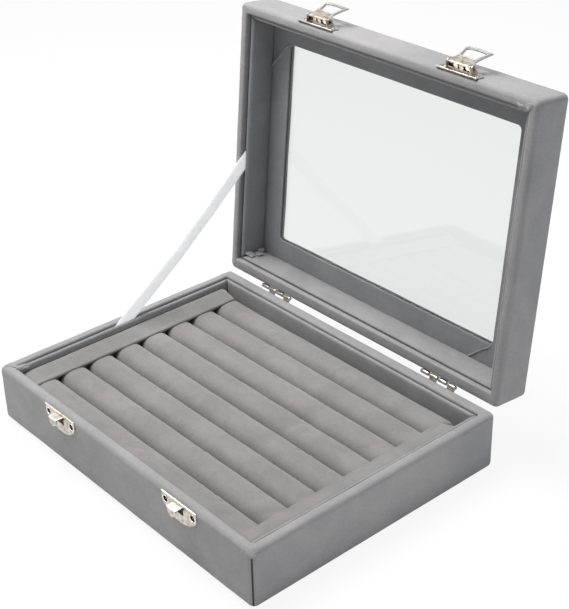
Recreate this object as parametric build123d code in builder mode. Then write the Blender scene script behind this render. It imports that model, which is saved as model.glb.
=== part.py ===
"""Ring display box: a velvet-covered tray with ring rolls and a glass lid.

The frame has its origin at the centre of the tray's underside, with +X to the
right, the front towards -Y and +Z up. Lid pieces are built with the lid shut and
are then swung open about the hinge axis, which is how the box stands on show.
"""
import os
from math import cos, radians, sin

from build123d import *

os.makedirs("parts", exist_ok=True)

# ---------------------------------------------------------------- the case, in mm
length = 200.0
depth = 152.0
tray_height = 31.2
lid_height = 21.8
closed_gap = 0.6
open_angle = 95.65
corner_radius = 3.0
edge_radius = 2.5
foot_radius = 2.0
mouth_radius = 1.0

velvet = 0.8
side_board = 3.6
back_board = 5.0
floor_board = 3.0
insert_thickness = 1.5
base_sheet_thickness = 0.8
base_sheet_inset = 3.0
wrap_turn_in = 11.0
tray_wrap_drop = 13.0
lid_wrap_drop = 8.0
fit_gap = 0.2

# ---------------------------------------------------------------- linings and rolls
ribbon_gap = 0.5
liner_recess = 1.2
side_liner = 2.4
front_liner = 1.0
back_liner = 2.4
tray_liner_crown = 0.3
liner_rounding = 0.6
lid_liner_recess = 2.5
lid_side_liner = 3.3
lid_back_liner = 2.4
lid_liner_crown = 0.8
lid_liner_rounding = 1.0

bar_width = 11.9
bar_height = 19.9
bar_top_radius = 5.0
bar_outer_radius = 2.0
bar_end_radius = 1.5
left_bar_end_gap = 1.5
right_bar_end_gap = 6.0
roll_count = 8
roll_height = 17.5
roll_gap = 0.2
roll_foot_radius = 1.8
roll_end_radius = 1.4

# ---------------------------------------------------------------- the lid's window
window_length = 157.4
window_depth = 111.4
window_corner = 1.5
window_edge_radius = 0.7
window_liner_corner = 6.0
window_liner_thickness = 0.8
window_board_thickness = 2.4
glass_thickness = 1.3
glass_margin = 6.0
glass_corner = 2.0

# ---------------------------------------------------------------- hinges
hinge_y_offset = 0.5
hinge_rise = 1.1
left_hinge_inset = 40.0
right_hinge_inset = 38.0
hinge_length = 23.6
hinge_knuckles = 4
knuckle_gap = 0.3
barrel_radius = 1.15
hinge_pin_radius = 0.45
running_gap = 0.05
leaf_thickness = 0.5
leaf_height = 9.0
hinge_relief = 0.3
hinge_nail_radius = 0.5
hinge_nail_length = 3.4
hinge_nail_spacing = 15.0

# ---------------------------------------------------------------- catches and latches
left_latch_inset = 56.8
right_latch_inset = 48.8
plate_thickness = 0.6
catch_width = 24.6
catch_height = 10.8
catch_drop = 0.4
plate_ear_height = 5.0
plate_flank_swell = 0.6
plate_lobe_width = 9.6
plate_lobe_crown = 0.6
hook_width = 6.4
hook_reach = 4.4
hook_drop = 1.2
hook_flap_height = 4.6
hook_window_height = 4.2
latch_base_height = 9.2
latch_base_rise = 0.3
latch_pin_rise = 3.6
latch_pin_reach = 3.1
latch_pin_radius = 0.8
ear_thickness = 0.6
ear_radius = 1.7
hasp_tilt = 18.2
hasp_sheet = 0.7
hasp_barrel_width = 13.8
hasp_barrel_side = 3.3
hasp_barrel_rounding = 0.6
hasp_slot_width = 2.6
hasp_slot_x = 4.7
hasp_neck_width = 12.0
hasp_neck = 3.8
hasp_tip_width = 16.0
hasp_length = 12.9
hasp_waist = 0.34
hasp_tip_crown = 0.7
hasp_border = 1.5
hasp_border_height = 0.4
hasp_window_near = 4.8
nail_radius = 0.6
nail_length = 3.4
nail_head_radius = 1.5
nail_head_height = 0.7
nail_head_slope = 0.45
nail_spacing = 19.4
nail_drop = 3.6

# ---------------------------------------------------------------- stay ribbon
ribbon_width = 9.0
ribbon_thickness = 0.3
ribbon_tray_reach = 75.7
ribbon_lid_reach = 62.5
ribbon_anchor = 13.0

# ---------------------------------------------------------------- derived places
half_length = length / 2
half_depth = depth / 2
lid_rim = tray_height + closed_gap
lid_top = lid_rim + lid_height
board_foot = base_sheet_thickness + velvet
board_top = tray_height - velvet
floor_top = board_foot + floor_board
bed = floor_top + insert_thickness
core_x = half_length - velvet - side_board
core_front = -half_depth + velvet + side_board
core_back = half_depth - velvet - back_board
wall_x = core_x - velvet
wall_front = core_front + velvet
wall_back = core_back - velvet
lid_board_foot = lid_rim + velvet
lid_board_top = lid_top - velvet
window_board_foot = lid_board_top - window_board_thickness
glass_top = window_board_foot + glass_thickness
liner_ceiling = window_board_foot - window_liner_thickness

strip_x = wall_x - ribbon_gap
strip_front = wall_front + fit_gap
strip_back = wall_back - fit_gap
bed_x = strip_x - side_liner - fit_gap
bed_front = strip_front + front_liner + fit_gap
bed_back = strip_back - back_liner - fit_gap

left_hinge_x = left_hinge_inset - half_length
right_hinge_x = half_length - right_hinge_inset
left_latch_x = left_latch_inset - half_length
right_latch_x = half_length - right_latch_inset

hinge_y = half_depth + hinge_y_offset
hinge_z = tray_height + hinge_rise
hinge_axis = Axis((0, hinge_y, hinge_z), (1, 0, 0))
tray_leaf_root = tray_height - edge_radius
lid_leaf_root = lid_rim + edge_radius
board_back = half_depth - velvet


def swing_open(builder):
    """The finished lid piece, turned from shut to the pose on show."""
    return builder.part.rotate(hinge_axis, -open_angle)


def case_block(inset, bottom, top, bottom_radius, top_radius):
    """A block of the case's outline, drawn in by `inset`, with rounded edges."""
    with BuildPart() as block:
        with BuildSketch(Plane.XY.offset(bottom)):
            RectangleRounded(length - 2 * inset, depth - 2 * inset, corner_radius - inset)
        extrude(amount=top - bottom)
        fillet(block.edges().group_by(Axis.Z)[0], bottom_radius)
        fillet(block.edges().group_by(Axis.Z)[-1], top_radius)
    return block.part


def room(half_x, front, back, bottom, top):
    """A plain box between two heights, for cavities and for cutting boards."""
    with BuildPart() as box:
        with BuildSketch(Plane.XY.offset(bottom)):
            with Locations((0, (front + back) / 2)):
                Rectangle(2 * half_x, back - front)
        extrude(amount=top - bottom)
    return box.part


def window_plug(margin, corner, bottom, top):
    """A plug of the window's outline, grown by `margin`."""
    with BuildPart() as plug:
        with BuildSketch(Plane.XY.offset(bottom)):
            RectangleRounded(window_length + 2 * margin, window_depth + 2 * margin, corner)
        extrude(amount=top - bottom)
    return plug.part


def on_mouth(edge):
    """Whether an edge runs round the mouth and not round the outside."""
    middle = edge.center()
    inside_x = abs(middle.X) < wall_x + velvet / 2
    return inside_x and wall_front - velvet / 2 < middle.Y < wall_back + velvet / 2


# ---------------------------------------------------------------- hinge leaves and pins
def hinge_leaf(centre_x, root, tail, first_knuckle):
    """A leaf let into the back board, with its knuckles rolled round the pin."""
    pitch = hinge_length / hinge_knuckles
    with BuildPart() as leaf:
        with BuildSketch(Plane.XZ.offset(-board_back)):
            with Locations((centre_x, (root + tail) / 2)):
                Rectangle(hinge_length, abs(tail - root))
        extrude(amount=leaf_thickness)
        for knuckle in range(first_knuckle, hinge_knuckles, 2):
            knuckle_x = centre_x - hinge_length / 2 + knuckle * pitch + knuckle_gap / 2
            with BuildSketch(Plane.YZ.offset(knuckle_x)):
                with BuildLine():
                    Polyline(
                        (board_back - leaf_thickness, root),
                        (board_back, root),
                        (hinge_y + leaf_thickness / 2, hinge_z),
                        (hinge_y - leaf_thickness / 2, hinge_z),
                        close=True,
                    )
                make_face()
                with Locations((hinge_y, hinge_z)):
                    Circle(barrel_radius)
            extrude(amount=pitch - knuckle_gap)
        with BuildSketch(Plane.YZ.offset(centre_x - hinge_length / 2)):
            with Locations((hinge_y, hinge_z)):
                Circle(hinge_pin_radius + running_gap)
        extrude(amount=hinge_length, mode=Mode.SUBTRACT)
    return leaf


def hinge_pin(centre_x):
    """The pin that runs through all the knuckles of one hinge."""
    with BuildPart() as pin:
        with BuildSketch(Plane.YZ.offset(centre_x - hinge_length / 2)):
            with Locations((hinge_y, hinge_z)):
                Circle(hinge_pin_radius)
        extrude(amount=hinge_length)
    return pin


def hinge_nails(middle_z):
    """The nails that hold both leaves of one half, set in from the back."""
    with BuildPart() as nails:
        with BuildSketch(Plane.XZ.offset(-board_back)):
            for centre_x in (left_hinge_x, right_hinge_x):
                with Locations((centre_x, middle_z)):
                    with GridLocations(hinge_nail_spacing, 1, 2, 1):
                        Circle(hinge_nail_radius)
        extrude(amount=hinge_nail_length)
    return nails


def hinge_reliefs():
    """The hollows that the lid's back edge has round both hinge barrels."""
    with BuildPart() as reliefs:
        for centre_x in (left_hinge_x, right_hinge_x):
            with BuildSketch(Plane.YZ.offset(centre_x - hinge_length / 2 - knuckle_gap)):
                with Locations((hinge_y, hinge_z)):
                    Circle(barrel_radius + hinge_relief)
            extrude(amount=hinge_length + 2 * knuckle_gap)
    return reliefs.part


tray_leaf_tail = tray_leaf_root - leaf_height
lid_leaf_tail = lid_leaf_root + leaf_height
left_hinge_tray_leaf = hinge_leaf(left_hinge_x, tray_leaf_root, tray_leaf_tail, 1)
right_hinge_tray_leaf = hinge_leaf(right_hinge_x, tray_leaf_root, tray_leaf_tail, 1)
left_hinge_lid_leaf = hinge_leaf(left_hinge_x, lid_leaf_root, lid_leaf_tail, 0)
right_hinge_lid_leaf = hinge_leaf(right_hinge_x, lid_leaf_root, lid_leaf_tail, 0)
left_hinge_pin = hinge_pin(left_hinge_x)
right_hinge_pin = hinge_pin(right_hinge_x)
hinge_nails_tray = hinge_nails((tray_leaf_root + tray_leaf_tail) / 2)
hinge_nails_lid = hinge_nails((lid_leaf_root + lid_leaf_tail) / 2)
for leaf in (left_hinge_tray_leaf, right_hinge_tray_leaf):
    with leaf:
        add(hinge_nails_tray.part, mode=Mode.SUBTRACT)
for leaf in (left_hinge_lid_leaf, right_hinge_lid_leaf):
    with leaf:
        add(hinge_nails_lid.part, mode=Mode.SUBTRACT)


# ---------------------------------------------------------------- catches on the tray
def front_plane(centre_x, height):
    """The plane of the case's front, with x to the right and y up."""
    return Plane((centre_x, -half_depth, height), x_dir=(1, 0, 0), z_dir=(0, -1, 0))


def eared_plate(width, height):
    """The outline of a fitting: a straight edge, an ear at each end and a lobe between."""
    ear = width / 2
    lobe = plate_lobe_width / 2
    shoulder = height - plate_lobe_crown
    flank_x = (ear + lobe) / 2 + plate_flank_swell
    flank_y = (plate_ear_height + shoulder) / 2 + plate_flank_swell
    with BuildSketch() as outline:
        with BuildLine():
            Polyline((-ear, plate_ear_height), (-ear, 0), (ear, 0), (ear, plate_ear_height))
            for side in (-1, 1):
                ThreePointArc(
                    (side * ear, plate_ear_height),
                    (side * flank_x, flank_y),
                    (side * lobe, shoulder),
                )
            ThreePointArc((-lobe, shoulder), (0, height), (lobe, shoulder))
        make_face()
    return outline.sketch


catch_top = tray_height - catch_drop


def catch_plate(centre_x):
    """A nailed plate with a hook bent out of it, whose round flap hangs in front."""
    face = front_plane(centre_x, catch_top)
    downward = Plane(face.origin, x_dir=(-1, 0, 0), z_dir=(0, -1, 0))
    window_middle = hook_drop + plate_thickness + hook_window_height / 2
    flap_middle = hook_drop + hook_flap_height - hook_width / 2
    with BuildPart() as plate:
        with BuildSketch(downward):
            add(eared_plate(catch_width, catch_height))
        extrude(amount=plate_thickness)
        with BuildSketch(face):
            with Locations((0, -window_middle)):
                Rectangle(hook_width, hook_window_height)
        extrude(amount=plate_thickness, mode=Mode.SUBTRACT)
        with BuildSketch(face):
            with Locations((0, -hook_drop - plate_thickness / 2)):
                Rectangle(hook_width, plate_thickness)
        extrude(amount=plate_thickness + hook_reach)
        with BuildSketch(face.offset(hook_reach)):
            with Locations((0, -flap_middle)):
                Circle(hook_width / 2)
            with Locations((0, hook_width / 2 - hook_drop)):
                Rectangle(hook_width, hook_width, mode=Mode.SUBTRACT)
            with Locations((0, -(hook_drop + flap_middle) / 2)):
                Rectangle(hook_width, flap_middle - hook_drop)
        extrude(amount=plate_thickness)
    return plate


def plate_nails(height):
    """Round-headed nails, two through each plate, driven into the front board."""
    with BuildPart() as nails:
        for centre_x in (left_latch_x, right_latch_x):
            face = front_plane(centre_x, height).offset(plate_thickness)
            with BuildSketch(face):
                with GridLocations(nail_spacing, 1, 2, 1):
                    Circle(nail_head_radius)
            extrude(amount=nail_head_height)
            with BuildSketch(face):
                with GridLocations(nail_spacing, 1, 2, 1):
                    Circle(nail_radius)
            extrude(amount=-nail_length)
        heads = nails.edges().filter_by(GeomType.CIRCLE).group_by(Axis.Y)[0]
        chamfer(heads, nail_head_slope)
    return nails


left_catch_plate = catch_plate(left_latch_x)
right_catch_plate = catch_plate(right_latch_x)
catch_nails = plate_nails(catch_top - nail_drop)
for plate in (left_catch_plate, right_catch_plate):
    with plate:
        add(catch_nails.part, mode=Mode.SUBTRACT)

# ---------------------------------------------------------------- latches on the lid
latch_foot = lid_rim + latch_base_rise
latch_y = -half_depth - latch_pin_reach
latch_z = lid_rim + latch_pin_rise


def latch_base(centre_x):
    """A nailed plate with two ears that carry the latch pin."""
    with BuildPart() as base:
        with BuildSketch(front_plane(centre_x, latch_foot)):
            add(eared_plate(catch_width, latch_base_height))
        extrude(amount=plate_thickness)
        for side in (-1, 1):
            ear_middle = centre_x + side * (hasp_barrel_width / 2 + fit_gap + ear_thickness / 2)
            with BuildSketch(Plane.YZ.offset(ear_middle - ear_thickness / 2)):
                with Locations((latch_y, latch_z)):
                    Circle(ear_radius)
                with BuildLine():
                    Polyline(
                        (latch_y, latch_z - ear_radius),
                        (latch_y, latch_z + ear_radius),
                        (-half_depth, latch_z + 2 * ear_radius),
                        (-half_depth, latch_z - ear_radius),
                        close=True,
                    )
                make_face()
                with Locations((latch_y, latch_z)):
                    Circle(latch_pin_radius, mode=Mode.SUBTRACT)
            extrude(amount=ear_thickness)
    return base


def latch_pin(centre_x):
    """The pin between the ears, which ends flush with them."""
    pin_length = hasp_barrel_width + 2 * (fit_gap + ear_thickness)
    with BuildPart() as pin:
        with BuildSketch(Plane.YZ.offset(centre_x - pin_length / 2)):
            with Locations((latch_y, latch_z)):
                Circle(latch_pin_radius)
        extrude(amount=pin_length)
    return pin


def duckbill():
    """The flared plate of a hasp, from its barrel to its curved tip."""
    root = hasp_barrel_width / 2
    neck = hasp_neck_width / 2
    tip = hasp_tip_width / 2
    middle = (hasp_neck + hasp_length) / 2
    with BuildSketch() as outline:
        with BuildLine():
            Line((-root, 0), (root, 0))
            for side in (-1, 1):
                Polyline((side * root, 0), (side * root, hasp_neck / 2), (side * neck, hasp_neck))
                ThreePointArc(
                    (side * neck, hasp_neck),
                    (side * (neck + (tip - neck) * hasp_waist), middle),
                    (side * tip, hasp_length),
                )
            ThreePointArc(
                (-tip, hasp_length), (0, hasp_length + hasp_tip_crown), (tip, hasp_length)
            )
        make_face()
    return outline.sketch


def bill_window():
    """The opening in the bill, which drops over the hook of the catch."""
    narrow = hasp_neck_width / 2 - hasp_border
    wide = hasp_tip_width / 2 - hasp_border
    end = hasp_length - hasp_border
    with BuildSketch() as opening:
        with BuildLine():
            Polyline((-wide, end), (-narrow, hasp_window_near), (narrow, hasp_window_near), (wide, end))
            ThreePointArc((-wide, end), (0, end + hasp_tip_crown), (wide, end))
        make_face()
    return opening.sketch


def latch_hasp(centre_x):
    """A duckbill hasp: a slotted barrel and a flared, rimmed bill with its window."""
    tilt = radians(hasp_tilt)
    bore = latch_pin_radius + running_gap
    front = Vector(0, -cos(tilt), -sin(tilt))
    pin_plane = Plane((centre_x, latch_y, latch_z), x_dir=(1, 0, 0), z_dir=front)
    end = centre_x - hasp_barrel_width / 2
    end_plane = Plane((end, latch_y, latch_z), x_dir=front, z_dir=(1, 0, 0))
    with BuildPart() as hasp:
        with BuildSketch(pin_plane.offset(bore)):
            add(duckbill())
        extrude(amount=hasp_sheet)
        with BuildSketch(pin_plane.offset(bore + hasp_sheet)):
            add(duckbill())
            with Locations((0, hasp_window_near / 2)):
                Rectangle(2 * hasp_tip_width, hasp_window_near, mode=Mode.SUBTRACT)
        extrude(amount=hasp_border_height)
        with BuildSketch(pin_plane):
            add(bill_window())
        extrude(amount=bore + 2 * hasp_sheet, mode=Mode.SUBTRACT)
        with BuildSketch(end_plane):
            RectangleRounded(hasp_barrel_side, hasp_barrel_side, hasp_barrel_rounding)
            Circle(bore, mode=Mode.SUBTRACT)
        extrude(amount=hasp_barrel_width)
        with BuildSketch(end_plane):
            Circle(bore)
        extrude(amount=hasp_barrel_width, mode=Mode.SUBTRACT)
        for side in (-1, 1):
            slot = centre_x + side * hasp_slot_x - hasp_slot_width / 2
            with BuildSketch(Plane((slot, latch_y, latch_z), x_dir=front, z_dir=(1, 0, 0))):
                Rectangle(hasp_barrel_side + 2 * hasp_sheet, hasp_barrel_side + hasp_sheet)
            extrude(amount=hasp_slot_width, mode=Mode.SUBTRACT)
    return hasp


left_latch_base = latch_base(left_latch_x)
right_latch_base = latch_base(right_latch_x)
left_latch_pin = latch_pin(left_latch_x)
right_latch_pin = latch_pin(right_latch_x)
left_latch_hasp = latch_hasp(left_latch_x)
right_latch_hasp = latch_hasp(right_latch_x)
latch_nails = plate_nails(latch_foot + nail_drop)
for base in (left_latch_base, right_latch_base):
    with base:
        add(latch_nails.part, mode=Mode.SUBTRACT)

# ---------------------------------------------------------------- tray: boards
tray_cavity = room(core_x, core_front, core_back, board_foot, board_top)

with BuildPart() as tray_core:
    add(case_block(velvet, board_foot, board_top, foot_radius - velvet, edge_radius - velvet))
    add(tray_cavity, mode=Mode.SUBTRACT)
    for piece in (hinge_nails_tray, left_hinge_tray_leaf, right_hinge_tray_leaf, catch_nails):
        add(piece.part, mode=Mode.SUBTRACT)

with BuildPart() as tray_front_board:
    add(tray_core.part)
    add(room(half_length, -half_depth, core_front, 0, tray_height), mode=Mode.INTERSECT)

with BuildPart() as tray_back_board:
    add(tray_core.part)
    add(room(half_length, core_back, half_depth, 0, tray_height), mode=Mode.INTERSECT)

with BuildPart() as tray_side_boards:
    add(tray_core.part)
    add(room(half_length, core_front, core_back, 0, tray_height), mode=Mode.INTERSECT)

with BuildPart() as tray_left_board:
    add(tray_side_boards.part.solids().sort_by(Axis.X)[0])

with BuildPart() as tray_right_board:
    add(tray_side_boards.part.solids().sort_by(Axis.X)[-1])

with BuildPart() as tray_floor_board:
    add(room(core_x, core_front, core_back, board_foot, floor_top))

# ---------------------------------------------------------------- tray: velvet wrap
under_x = half_length - wrap_turn_in
under_y = half_depth - wrap_turn_in
drop_end = tray_height - tray_wrap_drop

with BuildPart() as tray_velvet_wrap:
    add(case_block(0, base_sheet_thickness, tray_height, foot_radius, edge_radius))
    add(tray_core.part, mode=Mode.SUBTRACT)
    add(room(wall_x, wall_front, wall_back, drop_end, tray_height), mode=Mode.SUBTRACT)
    add(room(core_x, core_front, core_back, board_foot, drop_end), mode=Mode.SUBTRACT)
    add(room(under_x, -under_y, under_y, 0, board_foot), mode=Mode.SUBTRACT)
    rim_edges = tray_velvet_wrap.edges().group_by(Axis.Z)[-1].filter_by(on_mouth)
    fillet(rim_edges, mouth_radius)
    for piece in (hinge_nails_tray, left_hinge_tray_leaf, right_hinge_tray_leaf, catch_nails):
        add(piece.part, mode=Mode.SUBTRACT)

# ---------------------------------------------------------------- tray: base sheet
with BuildPart() as base_sheet:
    with BuildSketch():
        RectangleRounded(
            length - 2 * base_sheet_inset, depth - 2 * base_sheet_inset, corner_radius
        )
    extrude(amount=base_sheet_thickness)
    add(room(under_x - fit_gap, fit_gap - under_y, under_y - fit_gap, 0, board_foot))


# ---------------------------------------------------------------- lining strips
def lining_strip(middle, inward, run, thickness, cuts, span, crown, rounding, lip):
    """A crowned strip against a wall, mitred at both ends.

    `middle` is the middle of its back face, `inward` points into the case, `cuts`
    are how far the mitres draw its two ends in, and `lip` (0 or -1) picks the
    edge, low or high, that shows and is rounded.
    """
    inward = Vector(*inward)
    along = Vector(0, 0, 1).cross(inward)
    foot, top = span
    with BuildPart() as strip:
        with BuildSketch(Plane(middle, x_dir=inward, z_dir=-along)):
            with BuildLine():
                Polyline(
                    (thickness - crown, foot), (0, foot), (0, top), (thickness - crown, top)
                )
                ThreePointArc(
                    (thickness - crown, top),
                    (thickness, (foot + top) / 2),
                    (thickness - crown, foot),
                )
            make_face()
        extrude(amount=run / 2, both=True)
        shown = strip.edges().filter_by(Axis(middle, along)).group_by(Axis.Z)[lip]
        fillet(shown.sort_by(Axis(middle, inward))[-1], rounding)
        with BuildSketch(Plane(middle, x_dir=along, z_dir=(0, 0, 1))):
            with BuildLine():
                Polyline(
                    (-run / 2, 0),
                    (run / 2, 0),
                    (run / 2 - cuts[1], -thickness),
                    (cuts[0] - run / 2, -thickness),
                    close=True,
                )
            make_face()
        extrude(amount=top, mode=Mode.INTERSECT)
    return strip


strip_y = (strip_front + strip_back) / 2
strip_depth = strip_back - strip_front
tray_span = (floor_top, tray_height - liner_recess)
tray_form = (tray_liner_crown, liner_rounding, -1)

tray_left_liner = lining_strip(
    (-strip_x, strip_y, 0), (1, 0, 0), strip_depth, side_liner,
    (front_liner, back_liner), tray_span, *tray_form,
)
tray_right_liner = lining_strip(
    (strip_x, strip_y, 0), (-1, 0, 0), strip_depth, side_liner,
    (back_liner, front_liner), tray_span, *tray_form,
)
tray_front_liner = lining_strip(
    (0, strip_front, 0), (0, 1, 0), 2 * strip_x, front_liner,
    (side_liner, side_liner), tray_span, *tray_form,
)
tray_back_liner = lining_strip(
    (0, strip_back, 0), (0, -1, 0), 2 * strip_x, back_liner,
    (side_liner, side_liner), tray_span, *tray_form,
)

with BuildPart() as insert_board:
    add(room(bed_x, bed_front, bed_back, floor_top, bed))


# ---------------------------------------------------------------- bars and ring rolls
def end_bar(side, end_gap):
    """A padded bar at the end of the rolls, with its inner top edge well rounded."""
    outer = side * bed_x
    inner = side * (bed_x - bar_width)
    top = bed + bar_height
    with BuildPart() as bar:
        with BuildSketch(Plane.XZ.offset(-bed_front)):
            with BuildLine():
                Polyline((outer, top - bar_outer_radius), (outer, bed), (inner, bed),
                         (inner, top - bar_top_radius))
                inner_turn = bar_top_radius * (1 - cos(radians(45)))
                ThreePointArc(
                    (inner, top - bar_top_radius),
                    (inner + side * inner_turn, top - inner_turn),
                    (inner + side * bar_top_radius, top),
                )
                Line((inner + side * bar_top_radius, top), (outer - side * bar_outer_radius, top))
                outer_turn = bar_outer_radius * (1 - cos(radians(45)))
                ThreePointArc(
                    (outer - side * bar_outer_radius, top),
                    (outer - side * outer_turn, top - outer_turn),
                    (outer, top - bar_outer_radius),
                )
            make_face()
        extrude(amount=-(bed_back - end_gap - bed_front))
        rounded = bar.edges().filter_by(lambda edge: edge.center().Z > bed + bar_end_radius)
        ends = rounded.group_by(Axis.Y)
        fillet(ends[0] + ends[-1], bar_end_radius)
    return bar


left_end_bar = end_bar(-1, left_bar_end_gap)
right_end_bar = end_bar(1, right_bar_end_gap)

roll_pitch = (bed_back - bed_front) / roll_count
roll_radius = (roll_pitch - roll_gap) / 2
roll_length = 2 * (bed_x - bar_width - fit_gap)


def ring_roll(middle_y):
    """A foam roll: straight flanks drawn in at the foot under a round crown."""
    crown = bed + roll_height
    centre = crown - roll_radius
    turn = roll_radius * sin(radians(45))
    with BuildPart() as roll:
        with BuildSketch(Plane.YZ.offset(-roll_length / 2)):
            with BuildLine():
                Polyline(
                    (middle_y - roll_radius, centre),
                    (middle_y - roll_radius, bed + roll_foot_radius),
                    (middle_y - roll_radius + roll_foot_radius, bed),
                    (middle_y + roll_radius - roll_foot_radius, bed),
                    (middle_y + roll_radius, bed + roll_foot_radius),
                    (middle_y + roll_radius, centre),
                )
                ThreePointArc(
                    (middle_y - roll_radius, centre),
                    (middle_y - turn, centre + turn),
                    (middle_y, crown),
                )
                ThreePointArc(
                    (middle_y, crown),
                    (middle_y + turn, centre + turn),
                    (middle_y + roll_radius, centre),
                )
            make_face()
        extrude(amount=roll_length)
        arches = roll.edges().filter_by(GeomType.CIRCLE)
        fillet(arches, roll_end_radius)
    return roll


rolls = [ring_roll(bed_front + (number + 0.5) * roll_pitch) for number in range(roll_count)]

# ---------------------------------------------------------------- lid: boards
with BuildPart() as lid_core:
    add(case_block(velvet, lid_board_foot, lid_board_top, edge_radius - velvet, edge_radius - velvet))
    lid_cavity = room(core_x, core_front, core_back, lid_board_foot, window_board_foot)
    add(lid_cavity, mode=Mode.SUBTRACT)
    add(window_plug(velvet, window_corner + velvet, window_board_foot, lid_top), mode=Mode.SUBTRACT)
    glass_pocket = window_plug(
        glass_margin + fit_gap, glass_corner + fit_gap, window_board_foot, glass_top
    )
    add(glass_pocket, mode=Mode.SUBTRACT)
    for piece in (hinge_nails_lid, left_hinge_lid_leaf, right_hinge_lid_leaf, latch_nails):
        add(piece.part, mode=Mode.SUBTRACT)
    add(hinge_reliefs(), mode=Mode.SUBTRACT)

with BuildPart() as window_board:
    add(lid_core.part)
    add(room(half_length, -half_depth, half_depth, window_board_foot, lid_top), mode=Mode.INTERSECT)

with BuildPart() as lid_front_board:
    add(lid_core.part)
    add(room(half_length, -half_depth, core_front, lid_rim, window_board_foot), mode=Mode.INTERSECT)

with BuildPart() as lid_back_board:
    add(lid_core.part)
    add(room(half_length, core_back, half_depth, lid_rim, window_board_foot), mode=Mode.INTERSECT)

with BuildPart() as lid_side_boards:
    add(lid_core.part)
    add(room(half_length, core_front, core_back, lid_rim, window_board_foot), mode=Mode.INTERSECT)

with BuildPart() as lid_left_board:
    add(lid_side_boards.part.solids().sort_by(Axis.X)[0])

with BuildPart() as lid_right_board:
    add(lid_side_boards.part.solids().sort_by(Axis.X)[-1])

# ---------------------------------------------------------------- lid: velvet wrap
lid_drop_end = lid_rim + lid_wrap_drop

with BuildPart() as lid_velvet_wrap:
    add(case_block(0, lid_rim, lid_top, edge_radius, edge_radius))
    add(lid_core.part, mode=Mode.SUBTRACT)
    add(room(wall_x, wall_front, wall_back, lid_rim, lid_drop_end), mode=Mode.SUBTRACT)
    add(room(core_x, core_front, core_back, lid_drop_end, window_board_foot), mode=Mode.SUBTRACT)
    add(glass_pocket, mode=Mode.SUBTRACT)
    add(window_plug(0, window_corner, window_board_foot, lid_top), mode=Mode.SUBTRACT)
    rim_edges = lid_velvet_wrap.edges().group_by(Axis.Z)[0].filter_by(on_mouth)
    fillet(rim_edges, mouth_radius)
    window_edges = lid_velvet_wrap.edges().group_by(Axis.Z)[-1].filter_by(on_mouth)
    fillet(window_edges, window_edge_radius)
    for piece in (hinge_nails_lid, left_hinge_lid_leaf, right_hinge_lid_leaf, latch_nails):
        add(piece.part, mode=Mode.SUBTRACT)
    add(hinge_reliefs(), mode=Mode.SUBTRACT)

# ---------------------------------------------------------------- lid: window and linings
with BuildPart() as window_glass:
    add(window_plug(glass_margin, glass_corner, window_board_foot, glass_top))

with BuildPart() as window_liner:
    add(room(core_x - fit_gap, core_front + fit_gap, core_back - fit_gap, liner_ceiling, window_board_foot))
    add(window_plug(0, window_liner_corner, liner_ceiling, window_board_foot), mode=Mode.SUBTRACT)

lid_span = (lid_rim + lid_liner_recess, liner_ceiling)
lid_form = (lid_liner_crown, lid_liner_rounding, 0)

lid_left_liner = lining_strip(
    (-strip_x, strip_y, 0), (1, 0, 0), strip_depth, lid_side_liner,
    (lid_side_liner, lid_back_liner), lid_span, *lid_form,
)
lid_right_liner = lining_strip(
    (strip_x, strip_y, 0), (-1, 0, 0), strip_depth, lid_side_liner,
    (lid_back_liner, lid_side_liner), lid_span, *lid_form,
)
lid_front_liner = lining_strip(
    (0, strip_front, 0), (0, 1, 0), 2 * strip_x, lid_side_liner,
    (lid_side_liner, lid_side_liner), lid_span, *lid_form,
)
lid_back_liner_strip = lining_strip(
    (0, strip_back, 0), (0, -1, 0), 2 * strip_x, lid_back_liner,
    (lid_side_liner, lid_side_liner), lid_span, *lid_form,
)

# ---------------------------------------------------------------- stay ribbon
# The ribbon is drawn with the lid open, straight from its slot in the tray's left
# wall to the one in the lid's, and runs on into both slots by ribbon_anchor.
tray_exit = Vector(hinge_y - ribbon_tray_reach, tray_height)
lid_turn = radians(open_angle)
rim_drop = lid_rim - hinge_z
lid_exit = Vector(
    hinge_y - ribbon_lid_reach * cos(lid_turn) + rim_drop * sin(lid_turn),
    hinge_z + ribbon_lid_reach * sin(lid_turn) + rim_drop * cos(lid_turn),
)
ribbon_line = (lid_exit - tray_exit).normalized()
ribbon_start = tray_exit - ribbon_line * ribbon_anchor
ribbon_end = lid_exit + ribbon_line * ribbon_anchor
ribbon_side = Vector(-ribbon_line.Y, ribbon_line.X) * (ribbon_width / 2)

with BuildPart() as lid_stay_ribbon:
    with BuildSketch(Plane.YZ.offset(-wall_x + (ribbon_gap - ribbon_thickness) / 2)):
        with BuildLine():
            Polyline(
                ribbon_start + ribbon_side,
                ribbon_end + ribbon_side,
                ribbon_end - ribbon_side,
                ribbon_start - ribbon_side,
                close=True,
            )
        make_face()
    extrude(amount=ribbon_thickness)

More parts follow.
